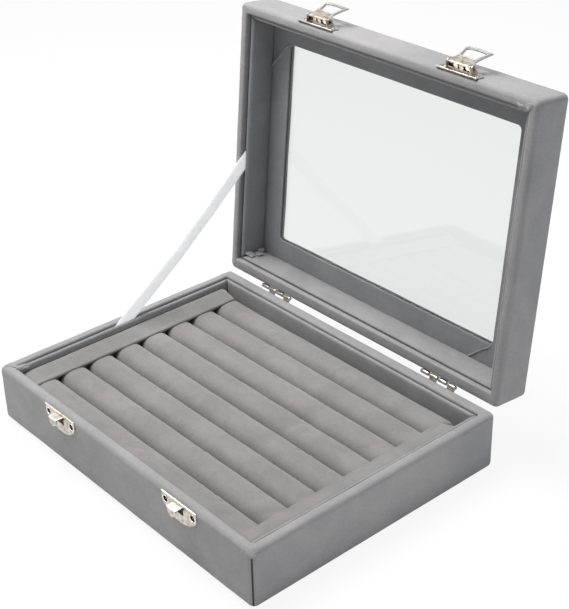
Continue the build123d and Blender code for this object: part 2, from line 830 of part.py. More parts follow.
# ---------------------------------------------------------------- write the pieces
tray_pieces = {
    "base_sheet": base_sheet,
    "tray_floor_board": tray_floor_board,
    "tray_front_board": tray_front_board,
    "tray_back_board": tray_back_board,
    "tray_left_board": tray_left_board,
    "tray_right_board": tray_right_board,
    "tray_velvet_wrap": tray_velvet_wrap,
    "tray_front_liner": tray_front_liner,
    "tray_back_liner": tray_back_liner,
    "tray_left_liner": tray_left_liner,
    "tray_right_liner": tray_right_liner,
    "insert_board": insert_board,
    "left_end_bar": left_end_bar,
    "right_end_bar": right_end_bar,
    "left_catch_plate": left_catch_plate,
    "right_catch_plate": right_catch_plate,
    "catch_nails": catch_nails,
    "left_hinge_tray_leaf": left_hinge_tray_leaf,
    "right_hinge_tray_leaf": right_hinge_tray_leaf,
    "left_hinge_pin": left_hinge_pin,
    "right_hinge_pin": right_hinge_pin,
    "hinge_nails_tray": hinge_nails_tray,
    "lid_stay_ribbon": lid_stay_ribbon,
}
for number, roll in enumerate(rolls, start=1):
    tray_pieces[f"ring_roll_{number}"] = roll

lid_pieces = {
    "lid_front_board": lid_front_board,
    "lid_back_board": lid_back_board,
    "lid_left_board": lid_left_board,
    "lid_right_board": lid_right_board,
    "window_board": window_board,
    "lid_velvet_wrap": lid_velvet_wrap,
    "window_glass": window_glass,
    "window_liner": window_liner,
    "lid_front_liner": lid_front_liner,
    "lid_back_liner": lid_back_liner_strip,
    "lid_left_liner": lid_left_liner,
    "lid_right_liner": lid_right_liner,
    "left_hinge_lid_leaf": left_hinge_lid_leaf,
    "right_hinge_lid_leaf": right_hinge_lid_leaf,
    "hinge_nails_lid": hinge_nails_lid,
    "left_latch_base": left_latch_base,
    "right_latch_base": right_latch_base,
    "latch_nails": latch_nails,
    "left_latch_pin": left_latch_pin,
    "right_latch_pin": right_latch_pin,
    "left_latch_hasp": left_latch_hasp,
    "right_latch_hasp": right_latch_hasp,
}

for name, piece in tray_pieces.items():
    piece.part.label = name
    export_step(piece.part, f"parts/{name}.step")

for name, piece in lid_pieces.items():
    opened = swing_open(piece)
    opened.label = name
    export_step(opened, f"parts/{name}.step")
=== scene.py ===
"""A velvet-covered display box for rings, open, its glass lid held by a satin ribbon."""
from cmath import phase, rect
from math import atan2, cos, exp, pi, radians, sin, sqrt

import bmesh
import bpy
from mathutils import Matrix, Vector, noise


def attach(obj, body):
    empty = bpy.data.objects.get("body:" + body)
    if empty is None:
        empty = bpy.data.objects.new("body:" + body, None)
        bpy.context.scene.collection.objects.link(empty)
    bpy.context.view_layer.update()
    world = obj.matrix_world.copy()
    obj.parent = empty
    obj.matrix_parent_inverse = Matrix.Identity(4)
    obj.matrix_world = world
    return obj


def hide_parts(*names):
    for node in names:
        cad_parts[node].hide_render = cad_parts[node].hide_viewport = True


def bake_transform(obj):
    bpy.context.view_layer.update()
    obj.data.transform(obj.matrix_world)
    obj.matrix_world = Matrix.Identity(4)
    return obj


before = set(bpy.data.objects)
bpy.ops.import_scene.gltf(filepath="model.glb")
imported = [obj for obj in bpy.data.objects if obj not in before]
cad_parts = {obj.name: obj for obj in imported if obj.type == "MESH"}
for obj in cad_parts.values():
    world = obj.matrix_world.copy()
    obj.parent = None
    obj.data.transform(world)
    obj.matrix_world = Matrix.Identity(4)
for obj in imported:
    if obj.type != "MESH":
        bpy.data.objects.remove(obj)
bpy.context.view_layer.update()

# -------- camera
# The photograph looks down on the box's front right corner from about two thirds of
# a metre, with the camera turned a little about its own axis.
camera = bpy.data.objects.new("camera", bpy.data.cameras.new("camera"))
bpy.context.scene.collection.objects.link(camera)
bpy.context.scene.camera = camera
bpy.context.scene.view_settings.view_transform = "Standard"
camera.data.sensor_fit = "AUTO"
camera.data.sensor_width = 36.0
camera.data.lens = 80.72
camera.data.clip_start = 0.01
camera.data.clip_end = 50.0
looking_from, azimuth, elevation, roll = (0.44414, -0.34868, 0.39834), 49.49, 29.58, -1.37
camera.matrix_world = (
    Matrix.Translation(looking_from) @ Matrix.Rotation(radians(azimuth), 4, "Z")
    @ Matrix.Rotation(radians(90 - elevation), 4, "X") @ Matrix.Rotation(radians(roll), 4, "Z")
)


# -------- floor and light
# A plain white table top under a large soft lamp, with paler lamps at the front and
# right. The floor turns white towards the camera and keeps the box's shadow.
def place(tree, kind, inputs=None, **settings):
    """Adds a node to a tree, sets its options, and fills or links its inputs."""
    made = tree.nodes.new("ShaderNode" + kind)
    for name, value in settings.items():
        setattr(made, name, value)
    for name, value in (inputs or {}).items():
        if isinstance(value, bpy.types.NodeSocket):
            tree.links.new(value, made.inputs[name])
        else:
            made.inputs[name].default_value = value
    return made


def maths(tree, operation, *values):
    """The result of a sum on up to three values."""
    return place(tree, "Math", dict(enumerate(values)), operation=operation).outputs[0]


def toned(tree, share, first, second):
    """A colour part of the way from the first to the second."""
    return place(tree, "Mix", {0: share, 6: first, 7: second}, data_type="RGBA").outputs[2]


def spread(tree, value, low, high, start=0.0, end=1.0):
    """A value that runs from start to end, taken to the range from low to high."""
    return place(tree, "MapRange", {
        "Value": value, "From Min": start, "From Max": end, "To Min": low, "To Max": high,
    }).outputs[0]


def looked_at(tree):
    """1 for a ray from the camera, or one mirrored or let through by a piece."""
    rays = place(tree, "LightPath").outputs
    seen = maths(tree, "MAXIMUM", rays["Is Camera Ray"], rays["Is Glossy Ray"])
    return maths(tree, "MAXIMUM", seen, rays["Is Transmission Ray"])


def new_material(name):
    """An empty node material and the socket that its shader goes into."""
    made = bpy.data.materials.new(name)
    made.use_nodes = True
    made.node_tree.nodes.clear()
    output = made.node_tree.nodes.new("ShaderNodeOutputMaterial")
    return made, made.node_tree, output.inputs["Surface"]


table_white, tree, surface = new_material("table_white")
spots = place(tree, "TexNoise", {"Scale": 3.0, "Detail": 2.0}).outputs["Fac"]
tint = toned(tree, spots, (0.90, 0.90, 0.90, 1), (0.94, 0.94, 0.94, 1))
matt = place(tree, "BsdfDiffuse", {"Color": tint, "Roughness": 0.4}).outputs[0]
plain = place(tree, "Emission", {"Color": (1, 1, 1, 1), "Strength": 1.0}).outputs[0]
share = maths(tree, "MULTIPLY", looked_at(tree), 0.9)
both = place(tree, "MixShader", {0: share, 1: matt, 2: plain})
tree.links.new(both.outputs[0], surface)

bpy.ops.mesh.primitive_grid_add(x_subdivisions=8, y_subdivisions=8, size=8.0, location=(0, 0, 0))
table_top = bpy.context.object
table_top.name = "table_top"
table_top.data.materials.append(table_white)

world = bpy.data.worlds.new("studio")
bpy.context.scene.world = world
world.use_nodes = True
tree = world.node_tree
tree.nodes.clear()
power = spread(tree, looked_at(tree), 0.17, 1.0)
room_light = place(tree, "Background", {"Color": (0.97, 0.985, 1.0, 1), "Strength": power})
world_out = tree.nodes.new("ShaderNodeOutputWorld")
tree.links.new(room_light.outputs[0], world_out.inputs["Surface"])


def soft_lamp(name, place_at, size, watts, colour):
    """A square lamp that faces the middle of the box."""
    lamp = bpy.data.lights.new(name, "AREA")
    lamp.size = size
    lamp.energy = watts
    lamp.color = colour
    holder = bpy.data.objects.new(name, lamp)
    bpy.context.scene.collection.objects.link(holder)
    holder.location = place_at
    facing = Vector((0, 0, 0.05)) - Vector(place_at)
    holder.rotation_euler = facing.to_track_quat("-Z", "Y").to_euler()


soft_lamp("lamp_above", (-0.24, -0.04, 0.76), 0.45, 9.0, (1.0, 0.985, 0.97))
soft_lamp("lamp_front", (-0.3, -1.3, 0.35), 0.9, 0.72, (0.91, 0.955, 1.0))
soft_lamp("lamp_right", (1.4, 0.3, 0.5), 0.9, 5.0, (0.92, 0.96, 1.0))

# -------- boards of the case
# Plain fibreboard, 2.4 to 5 mm thick, glued into the tray and the lid. It shows only
# where the velvet stops, inside the folds of the wraps.
fibreboard, tree, surface = new_material("fibreboard")


def on_piece(tree):
    """A spot's own coordinates on its piece."""
    return place(tree, "TexCoord").outputs["Object"]


def mottled(tree, scale, detail, roughness=0.5, distortion=0.0):
    """The value of a noise texture that stays on its piece."""
    return place(tree, "TexNoise", {
        "Vector": on_piece(tree), "Scale": scale, "Detail": detail, "Roughness": roughness,
        "Distortion": distortion,
    }).outputs["Fac"]


def bumps(tree, height, strength, distance):
    """The normal of a surface with small bumps, as far as distance high in metres."""
    made = place(tree, "Bump", {"Height": height, "Strength": strength, "Distance": distance})
    return made.outputs[0]


def principled(tree, surface, inputs):
    """Makes a Principled shader with these inputs the surface."""
    tree.links.new(place(tree, "BsdfPrincipled", inputs).outputs[0], surface)


flecks = mottled(tree, 900.0, 4.0, 0.7)
board_colour = toned(
    tree, spread(tree, flecks, 0.0, 1.0, 0.3, 0.7), (0.24, 0.17, 0.11, 1), (0.47, 0.36, 0.25, 1),
)
principled(tree, surface, {
    "Base Color": board_colour, "Roughness": 0.85,
    "Normal": bumps(tree, flecks, 0.3, 0.0002),
})


def finish_node(name, material):
    """Gives a node of the frame the material of this scene."""
    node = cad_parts[name]
    node.data.materials.clear()
    node.data.materials.append(material)


for side in ("front", "back", "left", "right"):
    finish_node(f"tray_{side}_board", fibreboard)
    finish_node(f"lid_{side}_board", fibreboard)
finish_node("tray_floor_board", fibreboard)
finish_node("window_board", fibreboard)


# -------- velvet wrap of the tray
# One long strip of short-piled grey velvet, glued round the outside of the walls,
# turned in under the floor and drawn over the rims; it meets at the front right corner.
def surface_group(name, takes):
    """A node group that gives a surface's colour, roughness and height."""
    made = bpy.data.node_groups.new(name, "ShaderNodeTree")
    gives = (("Colour", "Color"), ("Roughness", "Float"), ("Height", "Float"))
    for way, sockets in (("INPUT", takes), ("OUTPUT", gives)):
        for label, kind in sockets:
            made.interface.new_socket(label, in_out=way, socket_type="NodeSocket" + kind)
    given = made.nodes.new("NodeGroupInput").outputs
    return made, given, made.nodes.new("NodeGroupOutput").inputs


def scaled(tree, colour, share):
    """A colour made darker or lighter."""
    return place(tree, "VectorMath", {0: colour, "Scale": share}, operation="SCALE").outputs[0]


velvet_pile, given, out = surface_group("velvet_pile", (
    ("Pile", "Color"), ("Brushed", "Color"), ("Patches", "Float"), ("Grain", "Float"),
))
patches = mottled(velvet_pile, given["Patches"], 4.0, 0.6, 0.7)
brushed = spread(velvet_pile, patches, 0.0, 1.0, 0.34, 0.66)
colour = toned(velvet_pile, brushed, given["Pile"], given["Brushed"])
tufts = mottled(velvet_pile, 700.0, 3.0, 0.65)
fibres = mottled(velvet_pile, 2600.0, 2.0, 0.6)
mottle = maths(velvet_pile, "MULTIPLY_ADD", tufts, 0.30, 0.82)
speckle = maths(velvet_pile, "MULTIPLY_ADD", fibres, given["Grain"], mottle)
nap = spread(velvet_pile, tufts, 0.95, 0.72)
pile_height = maths(velvet_pile, "MULTIPLY_ADD", fibres, 0.5, tufts)
velvet_pile.links.new(scaled(velvet_pile, colour, speckle), out["Colour"])
velvet_pile.links.new(nap, out["Roughness"])
velvet_pile.links.new(pile_height, out["Height"])


def velvet(name, pile, brushed, patches, sheen):
    """A velvet of its own shade over the shared pile."""
    made, tree, surface = new_material(name)
    cloth = place(tree, "Group", {
        "Pile": (*pile, 1), "Brushed": (*brushed, 1), "Patches": patches, "Grain": 0.2,
    }, node_tree=velvet_pile).outputs
    principled(tree, surface, {
        "Base Color": cloth["Colour"], "Roughness": cloth["Roughness"],
        "Normal": bumps(tree, cloth["Height"], 0.35, 0.0003), "Specular IOR Level": 0.15,
        "Sheen Weight": sheen, "Sheen Roughness": 0.45,
    })
    return made


wrap_velvet = velvet("wrap_velvet", (0.252, 0.252, 0.259), (0.300, 0.296, 0.299), 32.0, 0.24)

half_length, half_depth, case_corner = 100.0, 76.0, 3.0
tray_rim, lid_rim, lid_top = 31.2, 31.8, 53.6
mouth_x, mouth_front, mouth_back = 94.8, -70.8, 69.4
velvet_thick, foot_round, edge_round, mouth_round = 0.8, 2.0, 2.5, 1.0
corner_steps, long_steps, short_steps = 20, 90, 68
stand = Matrix.Scale(0.001, 4)


def loop(left, right, front, back, radius):
    """Points round a rounded rectangle in mm, always as many and in the same order."""
    points = []
    corners = (
        (right - radius, front + radius), (right - radius, back - radius),
        (left + radius, back - radius), (left + radius, front + radius),
    )
    for number, (x, y) in enumerate(corners):
        for step in range(corner_steps):
            turn = radians(90 * (number - 1 + step / corner_steps))
            points.append((x + radius * cos(turn), y + radius * sin(turn)))
        turn = radians(90 * number)
        ahead = corners[(number + 1) % 4]
        start = (x + radius * cos(turn), y + radius * sin(turn))
        end = (ahead[0] + radius * cos(turn), ahead[1] + radius * sin(turn))
        steps = long_steps if number % 2 else short_steps
        for step in range(steps):
            t = step / steps
            points.append((start[0] + (end[0] - start[0]) * t, start[1] + (end[1] - start[1]) * t))
    return points


def outside(inset):
    """The case's outline, drawn in by a few mm."""
    return loop(
        inset - half_length, half_length - inset, inset - half_depth, half_depth - inset,
        max(case_corner - 0.55 * inset, 0.6),
    )


def mouth(outset):
    """The outline of the case's inner wall faces, moved out into the walls."""
    return loop(
        -mouth_x - outset, mouth_x + outset, mouth_front - outset, mouth_back + outset,
        0.7 + outset,
    )


def between(ring, other, share):
    """The outline part of the way from one outline to another."""
    return [(a[0] + (b[0] - a[0]) * share, a[1] + (b[1] - a[1]) * share)
            for a, b in zip(ring, other)]


def at_height(ring, z):
    """An outline lifted to a height."""
    return [(x, y, z) for x, y in ring]


def swing(radius, count, degrees):
    """Even steps round a circle: how far across and how far up each one is."""
    turns = [radians(degrees * k) for k in range(count)]
    return [(radius * sin(turn), radius * cos(turn)) for turn in turns]


def stack(shape, places):
    """An outline at a number of insets and heights."""
    return [at_height(shape(inset), z) for inset, z in places]


def to_mesh(name, made):
    """A mesh of what was modelled."""
    mesh = bpy.data.meshes.new(name)
    made.to_mesh(mesh)
    made.free()
    return mesh


def skin_mesh(name, rows, closed=False):
    """A smooth mesh over rows of closed rings, capped at its ends unless it closes."""
    made = bmesh.new()
    grid = [[made.verts.new(point) for point in row] for row in rows]
    pairs = list(zip(grid, grid[1:])) + ([(grid[-1], grid[0])] if closed else [])
    for low, high in pairs:
        for k in range(len(low)):
            n = (k + 1) % len(low)
            made.faces.new((low[k], low[n], high[n], high[k]))
    if not closed:
        made.faces.new(grid[0])
        made.faces.new(list(reversed(grid[-1])))
    bmesh.ops.recalc_face_normals(made, faces=made.faces)
    mesh = to_mesh(name, made)
    mesh.shade_smooth()
    return mesh


def new_piece(name, mesh):
    """An object of the scene with this mesh."""
    piece = bpy.data.objects.new(name, mesh)
    bpy.context.scene.collection.objects.link(piece)
    return piece


def skin(name, rows, closed=False):
    """A piece made as a skin over its rows."""
    return new_piece(name, skin_mesh(name, rows, closed))


def settle(piece, goes_to, material):
    """Takes a piece drawn in mm to its place in metres, in its material."""
    piece.data.transform(goes_to)
    piece.data.materials.append(material)


def press(piece, swell):
    """Moves each point of a piece out by swell(place), in mm, along its normal."""
    moves = [(v.co + v.normal * swell(v.co)) for v in piece.data.vertices]
    for vertex, goal in zip(piece.data.vertices, moves):
        vertex.co = goal


def uneven(place_at, size, depth, seed=0.0):
    """Soft unevenness of a few mm's size, up to depth mm high."""
    return depth * noise.noise(Vector(place_at) / size + Vector((seed, 2.7 * seed, -seed)))


hem_foot, drop_foot = 0.8, 18.2
wall_foot, wall_top = hem_foot + foot_round, tray_rim - edge_round
hem_top, under_rim = hem_foot + velvet_thick, tray_rim - velvet_thick
rows = stack(outside, [(inset, hem_foot) for inset in (11.0, 8.0, 5.0, 3.0)])
rows += stack(outside, [(foot_round - s, wall_foot - c) for s, c in swing(foot_round, 7, 15)])
rows += stack(outside, [(0.0, wall_foot + (wall_top - wall_foot) * k / 20) for k in range(1, 20)])
rows += stack(outside, [(edge_round - c, wall_top + s) for s, c in swing(edge_round, 10, 10)])
rows += [at_height(between(outside(edge_round), mouth(mouth_round), share), tray_rim + 0.04)
         for share in (0.33, 0.67)]
rows += stack(mouth, [(mouth_round - s, tray_rim - mouth_round + c)
                      for s, c in swing(mouth_round, 7, 15)])
rows += stack(mouth, [(0.0, z) for z in (28.5, 26.5, 22.5, drop_foot)])
rows += stack(mouth, [(velvet_thick, z) for z in (drop_foot, 24.0, 29.9, under_rim)])
rows += stack(outside, [
    (edge_round, under_rim), (1.3, 29.9), (velvet_thick, wall_top), (velvet_thick, wall_foot),
    (1.15, 1.95), (foot_round, hem_top), (11.0, hem_top),
])
tray_wrap = skin("tray_wrap", rows, closed=True)


def corner_spot(place_at):
    """How far a point is from the nearest corner of the case, seen from above."""
    return sqrt((half_length - abs(place_at.x)) ** 2 + (half_depth - abs(place_at.y)) ** 2)


def hidden_inside(p, low, high):
    """Whether a point is on the wrap's inner side, between two heights."""
    depth = 0.3
    return depth < half_length - abs(p.x) and depth < half_depth - abs(p.y) and low < p.z < high


def in_mouth(p):
    """Whether a point is inside the inner wall faces, seen from above."""
    return max(abs(p.x) - 94.9, abs(p.y + 0.7) - 70.2) < 0


def tray_wrap_swell(p):
    """Soft waves, the glued seam at the front right corner, and tucks at every corner."""
    if in_mouth(p) or p.z < 1.0 or hidden_inside(p, 1.0, 30.6):
        return 0.0
    swell = uneven(p, 24.0, 0.16) + uneven(p, 7.0, 0.06, 3.1)
    near, tuck_reach = corner_spot(p), 9.0
    if near < tuck_reach:
        top = max(0.0, min(1.0, (p.z - 25.0) / 4.0))
        swell += (1 - near / tuck_reach) * top * uneven(p, 2.2, 0.55, 8.3)
    out_x, out_y = p.x - (half_length - case_corner), p.y + (half_depth - case_corner)
    if out_x > 0 and out_y < 0:
        off = (atan2(out_y, out_x) + pi / 4) * case_corner
        height = min(1.0, max(0.0, (28.6 - p.z) / 1.5))
        swell -= 0.7 * height * exp(-(off / 0.42) ** 2)
        swell += 0.22 * height * exp(-((off - 1.0) / 0.6) ** 2)
        swell += 0.12 * height * exp(-((off + 1.1) / 0.6) ** 2)
        swell += 0.7 * exp(-(off / 1.0) ** 2) * exp(-((p.z - 29.2) / 1.0) ** 2)
    return swell


# Painted shade: a dark line down the glued seam at the front right corner, where its groove is,
# with a painted highlight on the knot of velvet at its top.
seam_line, seam_half, seam_top = 0.0240, 0.00062, 0.0280
knot = (0.0990, -0.0750, 0.0294)
tree = wrap_velvet.node_tree
shell = tree.nodes["Principled BSDF"]
spot = place(tree, "SeparateXYZ", {"Vector": on_piece(tree)}).outputs
across = maths(tree, "ADD", spot["X"], spot["Y"])
painted_seam_shade = maths(
    tree, "MULTIPLY", maths(tree, "COMPARE", across, seam_line, seam_half),
    maths(tree, "LESS_THAN", spot["Z"], seam_top),
)
painted_seam_shade = maths(tree, "MULTIPLY", painted_seam_shade, maths(tree, "GREATER_THAN", spot["X"], 0.0975))
from_knot = place(tree, "VectorMath", {0: on_piece(tree), 1: knot}, operation="DISTANCE")
lighter = spread(tree, from_knot.outputs["Value"], 1.35, 1.0, 0.0006, 0.0022)
seam_shade_and_highlight = maths(tree, "MULTIPLY", spread(tree, painted_seam_shade, 1.0, 0.16), lighter)
seamed = scaled(tree, shell.inputs["Base Color"].links[0].from_socket, seam_shade_and_highlight)
tree.links.new(seamed, shell.inputs["Base Color"])

press(tray_wrap, tray_wrap_swell)


def fold(start, end, half_width, height):
    """A ridge of folded velvet from one spot to another, raised along z by height."""
    start, end = Vector(start), Vector(end)
    side = Vector((start.y - end.y, end.x - start.x, 0)).normalized() * half_width
    steps, rows = 24, []
    for k in range(steps + 1):
        t = k / steps
        rise = height * min(1.0, 5 * t, 5 * (1 - t)) ** 0.5
        rise *= 1 + 0.3 * noise.noise((6 * t, start.x, start.y))
        middle = start.lerp(end, t) + side * 0.8 * noise.noise((3 * t, start.y, start.x))
        rows.append([middle + side * across + Vector((0, 0, rise * up)) for across, up in (
            (-1, -0.2), (-0.7, 0.25), (-0.3, 0.85), (0, 1), (0.3, 0.85), (0.7, 0.25), (1, -0.2))])
    return skin_mesh("fold", rows)


def tuck(centre, sizes, slant, seed):
    """A small crumpled knot of velvet where folds are tucked in."""
    made = bmesh.new()
    bmesh.ops.create_icosphere(made, subdivisions=5, radius=1.0)
    turned_by = Matrix.Rotation(radians(slant), 3, "Z")
    for vertex in made.verts:
        out = vertex.co.normalized()
        rough = 1 + 0.4 * noise.noise(out * 1.4 + Vector((seed, 0, 0)))
        rough -= 0.22 * abs(noise.noise(out * 3.2 + Vector((0, seed, 0))))
        spread_out = Vector([c * rough * size for c, size in zip(out, sizes)])
        vertex.co = Vector(centre) + turned_by @ spread_out
    mesh = to_mesh("tuck", made)
    mesh.shade_smooth()
    return mesh


def sew_on(piece, meshes):
    """Adds the meshes of folds and tucks to a piece."""
    made = bmesh.new()
    made.from_mesh(piece.data)
    for mesh in meshes:
        made.from_mesh(mesh)
        bpy.data.meshes.remove(mesh)
    made.to_mesh(piece.data)
    made.free()


sew_on(tray_wrap, [
    fold((-97.6, -73.6, 31.0), (-94.6, -70.6, 31.15), 0.6, 0.42),
    tuck((-97.2, -73.0, 31.0), (0.9, 0.7, 0.5), 35, 4.0),
    tuck((-94.3, -70.7, 30.9), (2.4, 1.3, 0.68), 40, 2.0),
    tuck((-92.4, -67.4, 29.9), (1.7, 5.0, 1.3), -6, 6.0),
])
settle(tray_wrap, stand, wrap_velvet)
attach(tray_wrap, "tray")
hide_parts("tray_velvet_wrap")

# -------- sheet under the tray
# A card covered with flat grey cloth, glued under the floor over the velvet's edges.
# It is out of sight while the box stands.
base_cloth, tree, surface = new_material("base_cloth")


def woven(tree, where, scale, distortion, along):
    """The value of a wave texture: threads side by side along an axis."""
    return place(tree, "TexWave", {
        "Vector": where, "Scale": scale, "Distortion": distortion, "Detail": 1.0,
    }, bands_direction=along).outputs["Fac"]


where = on_piece(tree)
threads = maths(
    tree, "MULTIPLY", woven(tree, where, 420.0, 0.6, "X"), woven(tree, where, 420.0, 0.6, "Y"),
)
principled(tree, surface, {
    "Base Color": toned(tree, threads, (0.15, 0.15, 0.155, 1), (0.26, 0.26, 0.27, 1)),
    "Roughness": 0.9, "Normal": bumps(tree, threads, 0.4, 0.0002),
})
finish_node("base_sheet", base_cloth)

# -------- linings of the tray
# Four strips of card padded and covered with velvet, glued to the inside of the walls
# and mitred where they meet; their soft top edges stop just under the rim.
lining_velvet = velvet("lining_velvet", (0.232, 0.232, 0.238), (0.275, 0.272, 0.274), 40.0, 0.28)


def stations_along(run, ends, steps):
    """Places along a padded form, close together at both ends and evenly apart between."""
    first = ends[-1]
    even = [first + (run - 2 * first) * k / steps for k in range(steps + 1)]
    return [*ends[:-1], *even, *(run - s for s in reversed(ends[:-1]))]


strip_x, strip_front, strip_back = 94.3, -70.6, 69.2
side_run, cross_run = strip_back - strip_front, 2 * strip_x
walls = {
    "right": ((strip_x, strip_front), (-1, 0), side_run),
    "left": ((-strip_x, strip_back), (1, 0), side_run),
    "back": ((strip_x, strip_back), (0, -1), cross_run),
    "front": ((-strip_x, strip_front), (0, 1), cross_run),
}


def lining(name, wall, thickness, cuts, span, crown, seed):
    """A padded strip along a wall: its shown edge is span[1], rolled right over."""
    corner, inward, run = wall
    along = (inward[1], -inward[0])
    hidden, shown = span
    turn_in = 0.5 * thickness
    up = 1 if shown > hidden else -1
    flat = abs(shown - hidden) - turn_in
    face = [(thickness - crown * (2 * t - 1) ** 2 * (1 if t < 0.5 else 0.5), hidden + up * flat * t)
            for t in (k / 10 for k in range(11))]
    edge = face[-1][0]
    for step in range(1, 14):
        turn = radians(178 * step / 13)
        face.append((
            0.5 * edge + 0.48 * edge * cos(turn), hidden + up * (flat + turn_in * sin(turn)),
        ))
    face += [(0.0, hidden + up * (flat - 0.1)), (0.0, hidden)]
    rows = []
    for station in stations_along(run, (0.0, 0.6, 1.4, 2.6, 4.5, 6.0), 60):
        end = min(station, run - station)
        pinch = 0.82 + 0.18 * min(1.0, end / 1.6) ** 0.5
        ring = []
        for depth, z in face:
            first = cuts[0] * depth / thickness
            last = run - cuts[1] * depth / thickness
            s = first + (last - first) * station / run
            q = depth
            if depth > 0.3:
                q = max(depth * pinch + uneven((s, z, seed), 9.0, 0.14, seed) - 0.14, 0.05)
            ring.append((
                corner[0] + along[0] * s + inward[0] * q, corner[1] + along[1] * s + inward[1] * q,
                z,
            ))
        rows.append(ring)
    return skin(name, rows)


tray_thick, front_thick = 2.4, 1.0
tray_linings = {
    "right": (tray_thick, (front_thick, tray_thick), 0.3),
    "left": (tray_thick, (tray_thick, front_thick), 0.3),
    "back": (tray_thick, (tray_thick, tray_thick), 0.3),
    "front": (front_thick, (tray_thick, tray_thick), 0.1),
}
for seed, (side, (thickness, cuts, crown)) in enumerate(tray_linings.items()):
    name = f"tray_{side}_liner"
    strip = lining(name + "_pad", walls[side], thickness, cuts, (4.6, 30.0), crown, 4.0 + seed)
    settle(strip, stand, lining_velvet)
    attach(strip, "tray")
    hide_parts(name)

# -------- board under the rolls
# The velvet-covered card on which the rolls and bars are glued; dark slivers of it
# show between the ends of the rolls.
finish_node("insert_board", lining_velvet)

# -------- end bars
# A padded bar closes each end of the rolls: foam in velvet, with a well rounded inner
# top edge, glued down beside the side lining.
roll_velvet = velvet("roll_velvet", (0.185, 0.180, 0.180), (0.228, 0.219, 0.217), 45.0, 0.55)
bed, bed_front, bed_back = 6.1, -69.4, 66.6
bar_outer, bar_inner, bar_top, bar_end = 91.7, 80.5, 24.9, 4.2


def soft_end(end, radius):
    """How far a padded form draws in, in mm, at a distance from its end."""
    if end >= radius:
        return 0.0
    return radius - sqrt(max(radius ** 2 - (radius - end) ** 2, 0.0))


for name, side, length in (("left_end_bar", -1, 134.5), ("right_end_bar", 1, 130.0)):
    rows = []
    for station in stations_along(length, (0.0, 0.15, 0.5, 1.0, 1.7, 2.6, 3.5, 4.5), 50):
        draw = soft_end(min(station, length - station), bar_end)
        outer, inner, top = bar_outer - draw * 0.3, bar_inner + draw, bar_top - draw
        ring = [(outer, bed), (outer, bed + 8.0)]
        ring += [(outer - 1.6 + c, top + 0.8 + s) for s, c in swing(1.6, 7, 15)]
        middle = (outer + inner) / 2
        ring += [(middle + 2.5, top + 2.0), (middle, top + 1.3), (middle - 2.2, top + 0.6)]
        for step in range(10):
            turn = radians(84 + 18 * step)
            ring.append((inner + 0.9 + 0.9 * cos(turn), top - 0.9 + 0.9 * sin(turn)))
        ring += [(inner + 3.4, top - 2.2), (inner + 3.6, bed + 10.0), (inner + 3.6, bed)]
        bent = []
        for x, z in ring:
            give = uneven((x, station, z), 13.0, 0.35, 5.0 + side) * (z - bed) / 20.0
            drawn_in = abs(give) * (0.6 if x > middle else -0.2)
            bent.append((side * (x - drawn_in), bed_front + station, z + give * 0.5))
        rows.append(bent)
    bar = skin(name + "_pad", rows)
    settle(bar, stand, roll_velvet)
    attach(bar, "tray")
    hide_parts(name)

# -------- ring rolls
# Eight rolls of foam rolled in velvet, pressed side by side so that a ring's band
# slips into the groove between two of them. Their ends are folded in against the bars.
roll_count, roll_radius, roll_half, roll_centre = 8, 8.47, 83.9, 15.2
roll_pitch = (bed_back - bed_front) / roll_count
roll_end, squareness, foot = 3.2, 2.9, 2.0

creases = (
    (0, -1.9, 0.5, 25, 4.0), (0, 50.0, 5.3, -30, 4.5), (0, 55.5, 4.0, 35, 3.5),
    (3, 51.9, 5.6, 40, 3.5), (3, 56.0, 4.6, -25, 4.0), (4, 31.8, 4.6, -35, 5.0),
    (4, 36.0, 3.4, 30, 3.5), (5, 28.5, 5.8, 35, 4.0), (6, -30.0, 4.8, -30, 4.0),
    (2, -52.0, 4.6, 30, 4.0), (1, 20.0, 5.5, -35, 3.5),
)


def crease(number, x, around):
    """Small slanting folds of loose velvet on some of the rolls."""
    depth = 0.0
    for roll, at_x, at_around, slant, reach in creases:
        if roll == number and abs(x - at_x) < 9.0:
            slant = radians(slant)
            across = (around - at_around) * cos(slant) - (x - at_x) * sin(slant)
            along = (around - at_around) * sin(slant) + (x - at_x) * cos(slant)
            ridge = 0.28 * exp(-((across - 1.1) / 0.8) ** 2) - 0.42 * exp(-(across / 0.8) ** 2)
            depth += exp(-(along / reach) ** 2) * ridge
    return depth


for number in range(roll_count):
    middle = bed_front + (number + 0.5) * roll_pitch
    rows = []
    for station in stations_along(2 * roll_half, (0.0, 0.1, 0.35, 0.8, 1.4, 2.1, 3.0, 4.5), 150):
        radius = roll_radius - soft_end(min(station, 2 * roll_half - station), roll_end)
        ring = []
        for step in range(41):
            turn = pi * step / 40
            place_at = (station, number * 31.0, 4.0 * turn)
            swell = radius + uneven(place_at, 17.0, 0.22) * sin(turn)
            swell += crease(number, station - roll_half, radius * cos(turn)) * sin(turn)
            full = abs(cos(turn)) ** squareness + sin(turn) ** squareness + 1e-9
            full = full ** (-1 / squareness)
            ring.append((
                middle + swell * full * cos(turn), roll_centre + swell * full * sin(turn) * 1.01,
            ))
        ring.append((middle - radius, bed + foot))
        ring.append((middle - radius + foot, bed))
        ring.append((middle + radius - foot, bed))
        ring.append((middle + radius, bed + foot))
        rows.append([(station - roll_half, y, z) for y, z in ring])
    foam_roll = skin(f"roll_{number + 1}", rows)
    settle(foam_roll, stand, roll_velvet)
    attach(foam_roll, "tray")
    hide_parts(f"ring_roll_{number + 1}")

# -------- velvet wrap of the lid
# The same velvet over the lid: from inside the rim over the edge, up the outside, across
# the top and into the window, under the glass. It is drawn shut and then swung open.
hinge_y, hinge_z, opened = 76.5, 32.3, radians(95.65)
left_hinge, right_hinge, half_leaf = -60.0, 62.0, 11.8
window_x, window_y, window_edge = 78.7, 55.7, 0.7
lid_stand = (
    stand @ Matrix.Translation((0, hinge_y, hinge_z))
    @ Matrix.Rotation(-opened, 4, "X") @ Matrix.Translation((0, -hinge_y, -hinge_z))
)


